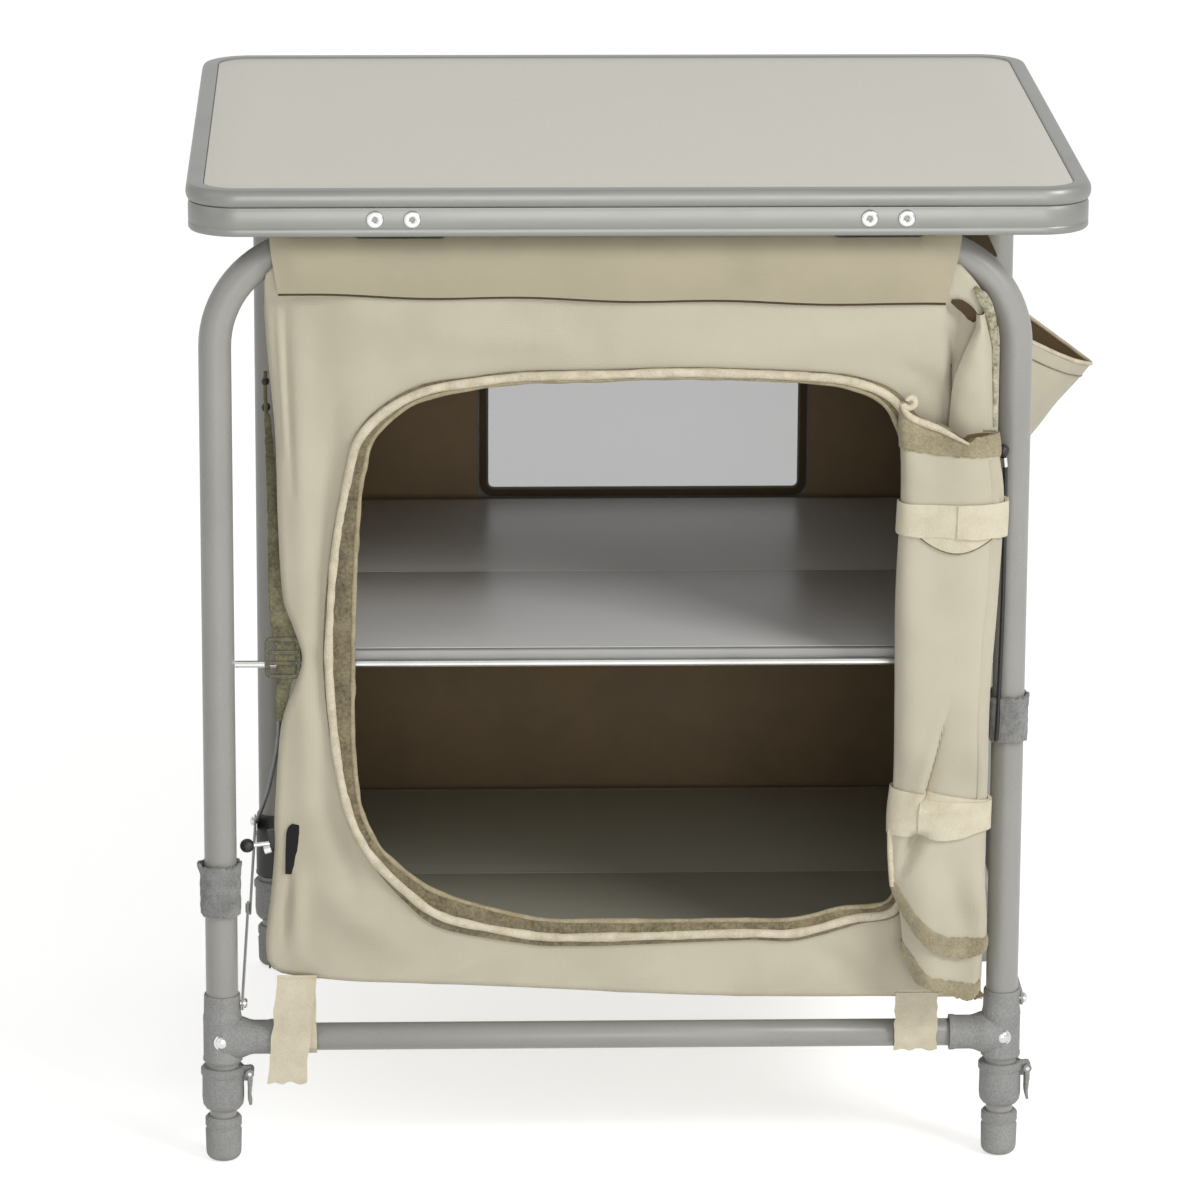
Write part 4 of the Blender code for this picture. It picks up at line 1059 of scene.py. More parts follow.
@dataclass
class FrontWall:
    """Front wall: its outline, the doorway's outer and inner line, and the relief that its trim shares.

    Every line is four runs of (X, Z) points: right, top, left and bottom.
    """

    thick: float = 0.0014
    curl: float = 0.004
    edge: tuple[Run, ...] = (
        ((0.2325, 0.1172), (0.2372, 0.126), (0.2385, 0.3), (0.2387, 0.5129), (0.2379, 0.5513),
         (0.2366, 0.5814)),
        ((0.2335, 0.5991), (0.2259, 0.6141), (0.2123, 0.6285), (0.195, 0.63), (0.0, 0.63), (-0.2, 0.63)),
        ((-0.2425, 0.6285), (-0.248, 0.6054), (-0.2475, 0.5831), (-0.2457, 0.5606), (-0.2415, 0.5107),
         (-0.2405, 0.457), (-0.2378, 0.4016), (-0.2315, 0.382), (-0.2247, 0.36), (-0.2285, 0.343),
         (-0.2358, 0.3233), (-0.24, 0.3037), (-0.243, 0.2685), (-0.2446, 0.2401), (-0.2445, 0.2224),
         (-0.2471, 0.1904), (-0.2507, 0.1618), (-0.2509, 0.1475)),
        ((-0.2468, 0.1367), (-0.2285, 0.1325), (-0.1194, 0.128), (0.0584, 0.119), (0.1612, 0.1178)))
    outer: tuple[Run, ...] = (
        ((0.18, 0.179), (0.189, 0.215), (0.1905, 0.3), (0.1905, 0.45), (0.188, 0.51)),
        ((0.176, 0.54), (0.1475, 0.5533), (0.1074, 0.5582), (0.0407, 0.5605), (-0.0258, 0.5594),
         (-0.0791, 0.5583), (-0.1123, 0.5543), (-0.1455, 0.549)),
        ((-0.1729, 0.5334), (-0.1883, 0.5143), (-0.1951, 0.4896), (-0.2054, 0.4344), (-0.2105, 0.3747),
         (-0.2101, 0.3398), (-0.2057, 0.2962), (-0.1998, 0.2644), (-0.1905, 0.2367), (-0.1764, 0.2125)),
        ((-0.1554, 0.188), (-0.1317, 0.1701), (-0.0785, 0.159), (-0.0445, 0.1566), (0.0169, 0.1583),
         (0.0784, 0.16), (0.1051, 0.1591), (0.1255, 0.1633), (0.1521, 0.1717)))
    inner: tuple[Run, ...] = (
        ((0.1725, 0.189), (0.1765, 0.22), (0.1775, 0.3), (0.1775, 0.45), (0.176, 0.505)),
        ((0.165, 0.533), (0.142, 0.546), (0.1074, 0.551), (0.0408, 0.5538), (-0.0258, 0.5526),
         (-0.0791, 0.5508), (-0.119, 0.5455), (-0.1456, 0.5387)),
        ((-0.1616, 0.5285), (-0.177, 0.5115), (-0.1818, 0.493), (-0.1851, 0.4744), (-0.1888, 0.4094),
         (-0.1902, 0.3397), (-0.1907, 0.3081), (-0.1889, 0.2771), (-0.185, 0.253), (-0.1722, 0.227)),
        ((-0.148, 0.205), (-0.1316, 0.1958), (-0.1058, 0.187), (-0.0629, 0.1767), (-0.0179, 0.1757),
         (0.0578, 0.1752), (0.098, 0.1749), (0.1185, 0.1776), (0.1382, 0.1832)))
    pleat: Run = ((0.2066, 0.5), (0.2072, 0.52), (0.2088, 0.545), (0.2108, 0.556), (0.2155, 0.569),
                  (0.2245, 0.5895))
    folds: tuple[Fold, ...] = (
        Fold((-0.24, 0.606), (-0.2352, 0.5), 0.0022, 0.0018),
        Fold((-0.2352, 0.6), (-0.23, 0.47), 0.0026, -0.0018),
        Fold((-0.227, 0.6), (-0.225, 0.42), 0.01, 0.005),
        Fold((-0.201, 0.54), (-0.215, 0.33), 0.0085, -0.005),
        Fold((-0.224, 0.4), (-0.222, 0.25), 0.011, 0.0055),
        Fold((-0.224, 0.362), (-0.214, 0.358), 0.005, -0.0026),
        Fold((-0.2345, 0.205), (-0.239, 0.16), 0.0026, -0.003),
        Fold((-0.23, 0.21), (-0.231, 0.15), 0.006, 0.0036),
        Fold((-0.212, 0.27), (-0.19, 0.19), 0.01, -0.0045),
        Fold((-0.218, 0.2), (-0.15, 0.15), 0.014, 0.0045),
        Fold((-0.14, 0.132), (-0.106, 0.148), 0.006, 0.003),
        Fold((-0.015, 0.124), (0.02, 0.142), 0.006, 0.0026),
        Fold((0.072, 0.122), (0.095, 0.139), 0.006, 0.003),
        Fold((0.125, 0.152), (0.17, 0.124), 0.01, -0.0034),
        Fold((-0.19, 0.598), (-0.02, 0.572), 0.014, 0.003),
        Fold((-0.16, 0.562), (-0.02, 0.572), 0.01, -0.002),
        Fold((0.06, 0.568), (0.195, 0.594), 0.014, 0.0034),
        Fold((0.172, 0.56), (0.204, 0.545), 0.008, -0.003),
        Fold((0.2054, 0.604), (0.2085, 0.545), 0.0026, -0.005))

    @property
    def face(self) -> float:
        """Y of the wall's outer face."""
        return float(cad("front_wall").low[1])

    def relief(self, x: np.ndarray, z: np.ndarray) -> np.ndarray:
        """Height off the wall's flat: folds, a soft ripple, the left column drawn back and the pleat's dip.

        Beside the pleat the wall sinks between the pleat's edge line and the upright crease at X 0.206.

        Args:
            x: places across the wall.
            z: heights on the wall.

        Returns:
            Height out of the wall.
        """
        calm = smoothstep(0.63, 0.604, z)
        total = (sum(fold.relief(x, z) for fold in self.folds) + 0.0006 * ripple(11, x, z, 0.1)) * calm
        line = np.array(self.pleat)
        start = np.interp(z, line[:, 1], line[:, 0])
        drawn = 0.012 * smoothstep(-0.18, -0.256, x) * calm
        crease = 0.2054 + (0.604 - z) * 0.052
        sunk = np.clip((x - crease) / np.maximum(start - crease, 0.0015), 0, 1)
        dip = 0.0085 * np.sin(np.pi * sunk) ** 0.7 * smoothstep(0.528, 0.56, z) * smoothstep(0.608, 0.59, z)
        return total - dip - drawn

    def lines(self, count: int) -> tuple[np.ndarray, np.ndarray, np.ndarray]:
        """Outer edge, doorway's outer line and doorway's inner line, with matching places."""
        return (closed_line(self.edge, count), closed_line(self.outer, count), closed_line(self.inner, count))

    def sheet(self) -> None:
        """Ring-shaped grid from the trim's middle to the wall's edge, then curled back round the sides."""
        edge, outer, inner = self.lines(80)
        start = (outer + inner) / 2
        tangent = np.gradient(edge, axis=0)
        tangent[0] = tangent[-1] = tangent[1]
        out = np.stack([tangent[:, 1], -tangent[:, 0]], 1) / np.linalg.norm(tangent, axis=1, keepdims=True)
        r = self.curl
        rows = [start + (edge - out * r - start) * t for t in unit(46)]
        back = [0.0] * len(rows)
        for turn in np.radians((25, 50, 75, 90)):
            rows.append(edge - out * r * (1 - np.sin(turn)))
            back.append(r * (1 - np.cos(turn)))
        rows.append(edge)
        back.append(r + 0.008)
        flat = np.stack(rows, 1)
        fade = smoothstep(0.612, 0.585, flat[..., 1])
        depth = np.array(back) * (0.25 + 0.75 * fade)
        y = self.face + self.thick / 2 + depth - self.relief(flat[..., 0], flat[..., 1])
        p = xyz(flat[..., 0], y, flat[..., 1])
        uv = np.stack([flat[..., 0], flat[..., 1] + depth], -1)
        Skin().lined(p, self.thick, True, uv, surface_normals(p, True)[0, 5, 1] < 0).piece(
            "canvas_front_wall", "front_frame", [CANVAS, LINING], ["front_wall"], 60,
            Cut(0.52, 0.545, Hold.HUNG, "front_u_tube", 0.125))

    def on_face(self, flat: np.ndarray, lift: np.ndarray | float) -> np.ndarray:
        """Puts (X, Z) places on the wall's face, lifted off it."""
        y = self.face - self.relief(flat[..., 0], flat[..., 1]) - lift
        return xyz(flat[..., 0], y, flat[..., 1])

    def closed_ripple(self, seed: int, flat: np.ndarray, wave: float) -> np.ndarray:
        """Ripple along a closed line or band of (X, Z) places, whose last row repeats its first."""
        height = ripple(seed, flat[..., 0], flat[..., 1], wave)
        height[-1] = height[0]
        return height

    def trim(self) -> None:
        """Velour band between the doorway's two lines, its tan edge, and the corded piping laid on it.

        Across the band t runs from 0 outside to 1 inside, with a crown 1 - (2t - 1)^4. The piping
        lies at the outer edge beside the door, further in under it and in the middle over it.
        """
        _, outer, inner = self.lines(150)
        t = unit(11)[:, None]
        flat = outer[:, None] * (1 - t) + inner[:, None] * t
        crown = 1 - (2 * t[:, 0] - 1) ** 4
        lump = self.closed_ripple(7, flat, 0.01)
        skin = Skin().slab(self.on_face(flat, 0.0012 + 0.0014 * crown + 0.0004 * lump * crown), 0.0014, True)
        line = inner + (outer - inner) * 0.06
        wave = 1 + 0.15 * self.closed_ripple(8, line, 0.02)
        skin.sweep(self.on_face(line, 0.002), circle(0.0017, 8), Y_AXIS, 1, np.column_stack([wave, wave]))
        skin.piece("doorway_velour", "front_frame", [VELOUR, TAN_EDGE], ["door_zip"])
        z = outer[:, 1:]
        share = 0.17 + 0.17 * smoothstep(0.245, 0.185, z) + 0.26 * smoothstep(0.5, 0.548, z)
        line = outer + (inner - outer) * share
        wave = 1 + 0.08 * self.closed_ripple(9, line, 0.03)
        Skin().sweep(self.on_face(line, 0.0033), circle(0.0031, 12), Y_AXIS, 0,
                     np.column_stack([wave, wave * 0.8])).piece("doorway_piping", "front_frame", [PIPING])

    def pleat_flap(self) -> None:
        """Loose fold of cloth at the upper right: free along its left edge and open at its upper end.

        Its lift off the wall across the fold, v from 0 to 1, is 0.011 sin(pi (0.1 + 0.9 v)) ** 0.6.
        """
        z, v = cross(np.linspace(0.498, 0.598, 60), unit(26))
        line = np.array(self.pleat)
        start = np.interp(z, line[:, 1], line[:, 0])
        stop = np.interp(z, (0.498, 0.575, 0.598), (0.2376, 0.2345, 0.229))
        x = start + (stop - start) * v
        ends = smoothstep(0.48, 0.515, z) * (0.75 + 0.25 * smoothstep(0.604, 0.585, z))
        lift = 0.0012 + 0.011 * np.sin(np.pi * (0.1 + 0.9 * v)) ** 0.6 * ends
        lift = lift + 0.0007 * ripple(67, x, z, 0.03) * v * (1 - v) * 4
        y = self.face - self.relief(np.full_like(x, 0.234), z) - lift
        # The face towards the wall and the edges are umber: painted shade under the fold and along its free
        # edge.
        Skin().slab(xyz(x, y, z), 0.0014, False, np.stack([x, z], -1), 1, 0).piece(
            "front_wall_pleat", "front_frame", [CANVAS, UMBER], (), 60,
            Cut(0.034, 0.1, Hold.FOLDED, "canvas_front_wall"))

    def pleat_mouth(self) -> None:
        """Painted shadow in the open mouth of the loose pleat, and the frayed tape along the wall's edge
        beside the tube's bend.
        """
        line = resample([(0.2075, 0.6058), (0.213, 0.6035), (0.219, 0.5985), (0.224, 0.5925)], 24)
        grow = widths(24, (0, 0.25, 0.85, 1), (0.35, 1.0, 1.2, 0.7))
        # A flat umber strip on the face: painted shadow in the pleat's open end.
        Skin().sweep(self.on_face(line, 0.003), pill(0.0066, 0.0012, 0.0005), Y_AXIS, scale=grow).piece(
            "pleat_mouth_painted_shadow", "front_frame", [UMBER])
        line = resample([(0.2232, 0.615), (0.2295, 0.606), (0.2343, 0.594), (0.2368, 0.578), (0.2378, 0.55),
                         (0.2383, 0.52)], 60)
        run = unit(60)
        wide = widths(60, (0, 0.1, 0.45, 1), (0.6, 1.5, 0.9, 0.6))
        wide[:, 0] *= 1 + 0.15 * ripple(61, run * 9, run * 0, 1.0)
        Skin().sweep(self.on_face(line, 0.0016), pill(0.005, 0.003, 0.0013), Y_AXIS, scale=wide).piece(
            "corner_frayed_tape", "front_frame", [FRAYED])

    def stay_slot(self) -> None:
        """Slot low on the left: a flat tapered black patch with a rounded head, painted shadow for the dark
        of its opening.
        """
        line = resample([(-0.2352, 0.2058), (-0.2332, 0.225), (-0.231, 0.2412)], 20)
        grow = widths(20, (0, 0.8, 0.93, 1), (0.55, 1.0, 0.88, 0.45))
        # The black patch is painted shadow for the slot's opening.
        Skin().sweep(self.on_face(line, 0.0004), pill(0.0104, 0.001, 0.0004), Y_AXIS, scale=grow).piece(
            "stay_slot_painted_shadow", "front_frame", [SLOT])

    def build(self) -> None:
        """Builds the wall and what is sewn to it."""
        self.sheet()
        self.trim()
        self.pleat_flap()
        self.pleat_mouth()
        self.stay_slot()


@dataclass
class Cupboard:
    """The cupboard's other cloth: rear wall with its net, sides, roof, base, valance and rear sleeve."""

    thick: float = 0.0014
    bracket_gaps: tuple = ((-0.188, -0.13), (0.13, 0.188))
    window_inset: float = 0.004
    left_x: float = -0.2455
    right_x: float = 0.2385

    def window(self) -> tuple[float, float, float, float]:
        """Left, right, lower and upper edge of the window."""
        net = cad("rear_window_net")
        seam = 0.008
        return net.low[0] + seam, net.high[0] - seam, net.low[2] + seam, net.high[2] - seam

    def rear_relief(self, x: np.ndarray, z: np.ndarray) -> np.ndarray:
        """Height of the rear wall off its flat: a soft ripple and a sag under the window, zero at its edge.

        Args:
            x: places across the wall.
            z: heights on the wall.

        Returns:
            Height out of the wall.
        """
        x0, x1, z0, z1 = self.window()
        off = np.maximum(np.maximum(x0 - x, x - x1), np.maximum(z0 - z, z - z1))
        puff = 0.0016 * ripple(21, x, z, 0.16) + 0.0028 * bell(z, 0.25, 0.06) * np.sin(x * 9 + 1)
        return puff * smoothstep(0.62, 0.59, z) * smoothstep(0.0, 0.06, off)

    def rear_wall(self) -> None:
        """Ring-shaped grid from the window's outline to the wall's, with the window's binding and net."""
        wall, hole, r = cad("rear_wall"), self.window(), 0.005
        w0, w1, b0, b1 = wall.low[0] + r, wall.high[0] - r, wall.low[2] + 0.002, wall.high[2] - 0.002
        inner = outline(*hole, [0.004] * 4, 12, 22)
        edge = outline(w0, w1, b0, b1, [0.01] * 4, 12, 22)
        rows = [inner + (edge - inner) * t for t in unit(26)]
        back = [0.0] * len(rows)
        for turn in np.radians((30, 60, 90)):
            rows.append(outline(w0 - r * np.sin(turn), w1 + r * np.sin(turn), b0, b1, [0.012] * 4, 12, 22))
            back.append(r * (1 - np.cos(turn)))
        rows.append(rows[-1])
        back.append(r + 0.006)
        flat = np.stack(rows, 1)
        x, z = flat[..., 0], flat[..., 1]
        depth = np.array(back) * (0.15 + 0.85 * smoothstep(0.612, 0.59, z))
        y = wall.high[1] - self.thick / 2 - depth + self.rear_relief(x, z)
        p = xyz(x, y, z)
        Skin().lined(p, self.thick, True, flat, surface_normals(p, True)[0, 5, 1] > 0).piece(
            "canvas_rear_wall", "rear_frame", [CANVAS, LINING], ["rear_wall"], 60,
            Cut(0.51, 0.53, Hold.HUNG, "rear_u_tube", 0.224))
        grow = self.window_inset
        line = outline(hole[0] - grow, hole[1] + grow, hole[2] - grow, hole[3] + grow, [0.008] * 4, 12, 30)
        path = xyz(line[:, 0], wall.middle[1], line[:, 1])
        Skin().sweep(path, pill(0.007, 0.0034, 0.0014), Y_AXIS).piece("window_binding", "rear_frame", [UMBER])
        net = cad("rear_window_net")
        x, z = cross(np.linspace(net.low[0], net.high[0], 30), np.linspace(net.low[2], net.high[2], 24))
        belly = np.sin(np.pi * (x - x[0, 0]) / net.size[0]) * np.sin(np.pi * (z - z[0, 0]) / net.size[2])
        Skin().slab(xyz(x, net.middle[1] - 0.0012 * belly, z), 0.0004).piece(
            "window_net_cloth", "rear_frame", [NET], ["rear_window_net"], 50,
            Cut(0.245, 0.215, Hold.STRETCHED, "canvas_rear_wall"))

    def side_wall(self, side: int) -> None:
        """Grid over depth and height that leans with the frames, sags inward and bares the tube bends.

        Its front edge follows the front wall's outline, and the drawn-in waist there dies away
        with depth as exp(-6 share).

        Args:
            side: LEFT or RIGHT.
        """
        front, rear = cad("front_wall"), cad("rear_wall")
        run = np.array(FrontWall().edge[2 if side < 0 else 0])
        run = run[np.argsort(run[:, 1])]
        straight = self.left_x if side < 0 else self.right_x
        rear_x = rear.low[0] if side < 0 else rear.high[0]
        y0, y1 = front.high[1] + 0.001, rear.low[1] - 0.001
        y, t = cross(np.linspace(y0, y1, 80), unit(90))
        top = cad("cupboard_roof").high[2] - 0.052 * smoothstep(0.176, 0.199, np.abs(y))
        share = (y - y0) / (y1 - y0)
        rise = 0.016 if side < 0 else 0.004
        low = cad("cupboard_base").low[2] + rise * (1 - share) - 0.004 * np.sin(np.pi * share)
        z = low + (top - low) * t
        waist = np.interp(z, run[:, 1], run[:, 0]) - straight
        belly = np.sin(np.pi * share) ** 0.8 * np.sin(np.pi * t) ** 0.8
        plane = straight + waist * np.exp(-6 * share) + (rear_x - straight) * share - side * 0.0016
        pleats = 0.0016 * np.sin(share * 60 + 3 * t) * bell(t, 1.0, 0.16)
        y = y + (0.012 if side < 0 else 0.0) * smoothstep(0.625, 0.6, z) * (1 - share)
        x = plane - side * (0.0055 * belly - 0.0018 * ripple(31 + side, y, z, 0.17) * belly - pleats)
        p = xyz(x, y, z)
        outward = np.sign(surface_normals(p, False)[40, 40, 0]) == side
        crumple(Skin().lined(p, self.thick, False, np.stack([y, z], -1), outward).piece(
            f"canvas_{WORD[side]}_side_wall", "rear_frame", [CANVAS, LINING], [f"{WORD[side]}_side_wall"], 60,
            Cut(0.435 if side < 0 else 0.445, 0.512, Hold.HUNG, "rear_u_tube")))

    def level_sheet(self, node: str, name: str, finish: Finish, cut: Cut, rise: float = 0.0,
                    sag: float = 0.0, back: float = 0.0, reach: float = 0.0) -> None:
        """Sheet over the cupboard's plan: z falls as a product of sines towards its middle.

        Args:
            node: CAD node that it stands for.
            name: name of the piece.
            finish: its finish.
            cut: its flat size.
            rise: height over the node's middle.
            sag: how far its middle hangs.
            back: how far its front edge lies behind the node's.
            reach: how far it is widened to meet the side walls.
        """
        box = cad(node)
        u, v = cross(unit(40), np.linspace(back / box.size[1], 1, 40))
        x = box.low[0] + 0.003 - 1.6 * reach + (box.size[0] - 0.003 + 2.2 * reach) * u
        y = box.low[1] + box.size[1] * v
        z = box.middle[2] + rise - sag * np.sin(np.pi * u) * np.sin(np.pi * v)
        crumple(Skin().slab(xyz(x, y, z), self.thick).piece(name, "rear_frame", [finish], [node], 60, cut))

    def sleeve(self, frame: int, name: str, node: str) -> None:
        """Cloth over the top tube: down its inner side, over the crown and down outside to its hem.

        The outer fall swells past the tube and comes back to the wall at the hem, its ends lean
        inward by 5.6 mm on the wide side and 10 mm on the other, and the hem drops by 8 mm across.

        Args:
            frame: FRONT or REAR.
            name: name of the piece.
            node: CAD node that it stands for.
        """
        tube_name = "front_u_tube" if frame < 0 else "rear_u_tube"
        box, tube = cad(node), cad(tube_name)
        z_tube = tube.high[2] - TUBE_R
        y_tube, near = abs(tube.middle[1]), TUBE_R + 0.001
        face = abs(box.low[1] if frame < 0 else box.high[1]) - 0.0006
        u, s = cross(unit(150), unit(30))
        wide, narrow = (box.low[0], box.high[0]) if frame < 0 else (box.high[0], box.low[0])
        lean = np.sign(narrow - wide)
        nominal = wide + (narrow - wide) * u
        gap = sum(((nominal > a) & (nominal < b)).astype(float) for a, b in self.bracket_gaps)
        top = z_tube + 0.0084 - 0.002 * gap * (frame < 0)
        hem = box.low[2] + 0.005 - 0.0082 * u + 0.0008 * np.sin(u * 21)
        z = top + (hem - top) * s
        drop = s ** 1.3
        start = wide + lean * (0.0012 + 0.0056 * drop)
        x = start + (narrow - wide - lean * (0.0024 + 0.0156 * drop)) * u
        swell = 0.0058 * np.sin(np.pi * s ** 0.75) + 0.0012 * s
        ends = smoothstep(0.0, 0.04, u) * smoothstep(1.0, 0.93, u)
        y = face + 0.0006 + swell * (0.4 + 0.6 * ends) + 0.0008 * ripple(41 + frame, x, z, 0.13) * s
        y = y - 0.0008 * smoothstep(0.93, 1.0, u) * s
        sheet = xyz(x, frame * y, z)
        # The thin umber cord under the hem is a painted shadow line, where the lining's edge also shows.
        skin = Skin().slab(sheet, 0.0013).sweep(sheet[:, -1] - (0, frame * 0.0006, 0.0008),
                                                circle(0.0011, 6), Y_AXIS, 1)
        over = resample([(face, z_tube + 0.009), (y_tube + near * 0.72, z_tube + near * 0.86),
                         (y_tube, z_tube + near), (y_tube - near * 0.74, z_tube + near * 0.7),
                         (y_tube - near, z_tube), (y_tube - near, z_tube - 0.008)], 22)
        cuts = [box.low[0] + 0.001, *np.ravel(self.bracket_gaps), box.high[0] - 0.001]
        for a, b in zip(cuts[::2], cuts[1::2]):
            xs = np.linspace(a, b, 24)
            skin.slab(xyz(xs[:, None], frame * over[:, 0], over[:, 1]), 0.0012)
        # The cloth is the canvas painted a shade darker: painted shade under the table top.
        skin.piece(name, "front_frame" if frame < 0 else "rear_frame", [SHADED_CANVAS, UMBER], [node], 60,
                   Cut(0.459, 0.085 if frame < 0 else 0.075, Hold.FOLDED, tube_name))

    def side_tie(self) -> None:
        """Olive tie on the left wall: strap, ladder buckle, thin cord to the rear tee, and two cord stops."""
        path = resample([(-0.248, -0.182, 0.52), (-0.244, -0.196, 0.457), (-0.2412, -0.205, 0.415),
                         (-0.2378, -0.2115, 0.383), (-0.235, -0.2135, 0.36), (-0.2385, -0.211, 0.335),
                         (-0.2415, -0.205, 0.312)], 60)
        run = unit(60)
        wide = np.interp(run, (0, 0.35, 0.62, 0.78, 0.86, 1), (0.25, 0.55, 1.0, 1.0, 0.6, 0.3))
        rough = 1 + 0.08 * ripple(51, run * 20, run * 0, 1.0)
        skin = Skin().sweep(path, pill(0.0165, 0.0022, 0.0009), Y_AXIS,
                            scale=np.column_stack([wide * rough, rough]))
        cord = resample([(-0.2412, -0.206, 0.315), (-0.244, -0.12, 0.27), (-0.252, 0.02, 0.2),
                         (-0.259, 0.13, 0.15), (-0.2655, 0.196, 0.116)], 50)
        skin.sweep(cord, circle(0.0016, 8), X_AXIS, 1)
        for x, z, r in ((-0.2492, 0.54, 0.003), (-0.249, 0.522, 0.0034)):
            skin.turn(ball(r, r, 9), (x, -0.172, z), (0.3, 0.4, 0.866), 14, 1)
        loop = resample([(-0.249, -0.172, 0.547), (-0.2492, -0.174, 0.53), (-0.2475, -0.182, 0.506)], 16)
        skin.sweep(loop, circle(0.0013, 8), X_AXIS)
        skin.turn(ball(0.0058, 0.005, 11), (-0.264, -0.205, 0.2232), (0.8, -0.55, 0.25), 18, 1)
        skin.sweep([(-0.2625, -0.205, 0.2232), (-0.247, -0.205, 0.225)], circle(0.0015, 10), Y_AXIS, 2)
        skin.sweep([(-0.2478, -0.205, 0.2345), (-0.2462, -0.205, 0.2225)], pill(0.0052, 0.003, 0.0008),
                   Y_AXIS, 1)
        nut = [(0, -0.0022), (0.003, -0.0022), (0.003, 0.0022), (0, 0.0022)]
        skin.turn(nut, (-0.25, -0.206, 0.2208), (1, 0, 0.3), 6, 2)
        crumple(skin.piece("left_side_tie", "rear_frame", [FRAYED_OLIVE, ACETAL, ZINC]))
        frame = outline(-0.0105, 0.0105, -0.013, 0.013, [0.003] * 4, 4, 3)
        middle = np.array([-0.2385, -0.214, 0.3585])
        ring = xyz(middle[0] + frame[:, 0], middle[1], middle[2] + frame[:, 1])
        buckle = Skin().sweep(ring, pill(0.0034, 0.003, 0.0008), Y_AXIS)
        for rise in (-0.0035, 0.004):
            bar = middle + np.array([[-0.01, -0.0004, rise], [0.01, -0.0004, rise]])
            buckle.sweep(bar, pill(0.003, 0.003, 0.0007), Z_AXIS)
        crumple(buckle.piece("left_ladder_buckle", "rear_frame", [OLIVE_NYLON]))

    def right_tie(self) -> None:
        """Black cord stop, and a dark cord between the rolled door and the right leg whose lower run is also
        painted shadow in the gap there.
        """
        # The cord's lower run also paints the shadow in the gap between roll and leg.
        skin = Skin().turn(ball(0.0042, 0.0042, 11), (0.2443, -0.2245, 0.503), Z_AXIS, 18)
        line = resample([(0.2446, -0.2245, 0.5), (0.2462, -0.2235, 0.49), (0.2466, -0.2225, 0.4),
                         (0.245, -0.2225, 0.32), (0.244, -0.223, 0.3)], 40)
        skin.sweep(line, circle(0.0015, 8), Y_AXIS)
        skin.sweep([(0.2451, -0.225, 0.4985), (0.2459, -0.2245, 0.492)], circle(0.0021, 10), Y_AXIS, 1)
        skin.piece("right_cord_stop_and_gap_shadow", "front_frame", [ACETAL, ZINC])

    def build(self) -> None:
        """Builds the rest of the cupboard's cloth."""
        self.rear_wall()
        for side in (LEFT, RIGHT):
            self.side_wall(side)
        roof_cut = Cut(0.482, 0.398, Hold.STRETCHED, "canvas_rear_wall")
        base_cut = Cut(0.47, 0.424, Hold.STRETCHED, "canvas_rear_wall")
        self.level_sheet("cupboard_roof", "canvas_roof", LINING, roof_cut, reach=0.0065)
        self.level_sheet("cupboard_base", "canvas_base", CANVAS, base_cut, 0.0055, 0.002, 0.022)
        self.sleeve(FRONT, "front_valance_cloth", "front_valance")
        self.sleeve(REAR, "rear_sleeve_cloth", "rear_sleeve")
        self.side_tie()
        self.right_tie()


@dataclass
class Boards:
    """Shelf and floor boards, each in two foil-covered halves with plastic edging."""

    edging: float = 0.0065

    def half(self, node: str) -> None:
        """Slab along X with an edging strip outside and, on the rear half, a foil lip over the hinge.

        Args:
            node: CAD node of the half board.
        """
        box = cad(node)
        front = node.endswith("front_board")
        outer = box.low[1] if front else box.high[1]
        inner = box.high[1] if front else 0.0017
        z = box.high[2] - 0.00425
        x0, x1 = box.low[0], box.high[0]
        cut = -1 if front else 1
        y0, y1 = sorted((inner, outer - cut * self.edging))
        core = (y0 + y1) / 2
        skin = Skin().sweep([(x0, core, z), (x1, core, z)], pill(y1 - y0, 0.0085, 0.0002), Z_AXIS)
        mid = outer - cut * self.edging / 2
        skin.sweep([(x0, mid, z), (x1, mid, z)], pill(self.edging - 0.0003, 0.0083, 0.0016), Z_AXIS, 1)
        if not front:
            lip_z = box.high[2] - 0.0005
            skin.sweep([(x0, 0.0004, lip_z), (x1, 0.0004, lip_z)], pill(0.003, 0.001, 0.0002), Z_AXIS)
        # The floor boards take the foil painted darker: painted shade under the shelf.
        foil = SHADED_FLOOR_FOIL if node.startswith("floor") else FOIL
        skin.piece(f"{node}_foil", node.replace("_board", ""), [foil, EDGING], [node], 20)

    def build(self) -> None:
        """Builds the four half boards and their hinge pins."""
        for level in ("shelf", "floor"):
            for part in ("front", "rear"):
                self.half(f"{level}_{part}_board")
            box = cad(f"{level}_rear_board")
            pin = [(0, 0), (0.0013, 0), (0.0013, box.size[0]), (0, box.size[0])]
            Skin().turn(pin, (box.low[0], 0.0, box.low[2] + 0.0012), X_AXIS, 12).piece(
                f"{level}_hinge_pin_rod", f"{level}_rear", [ZINC])


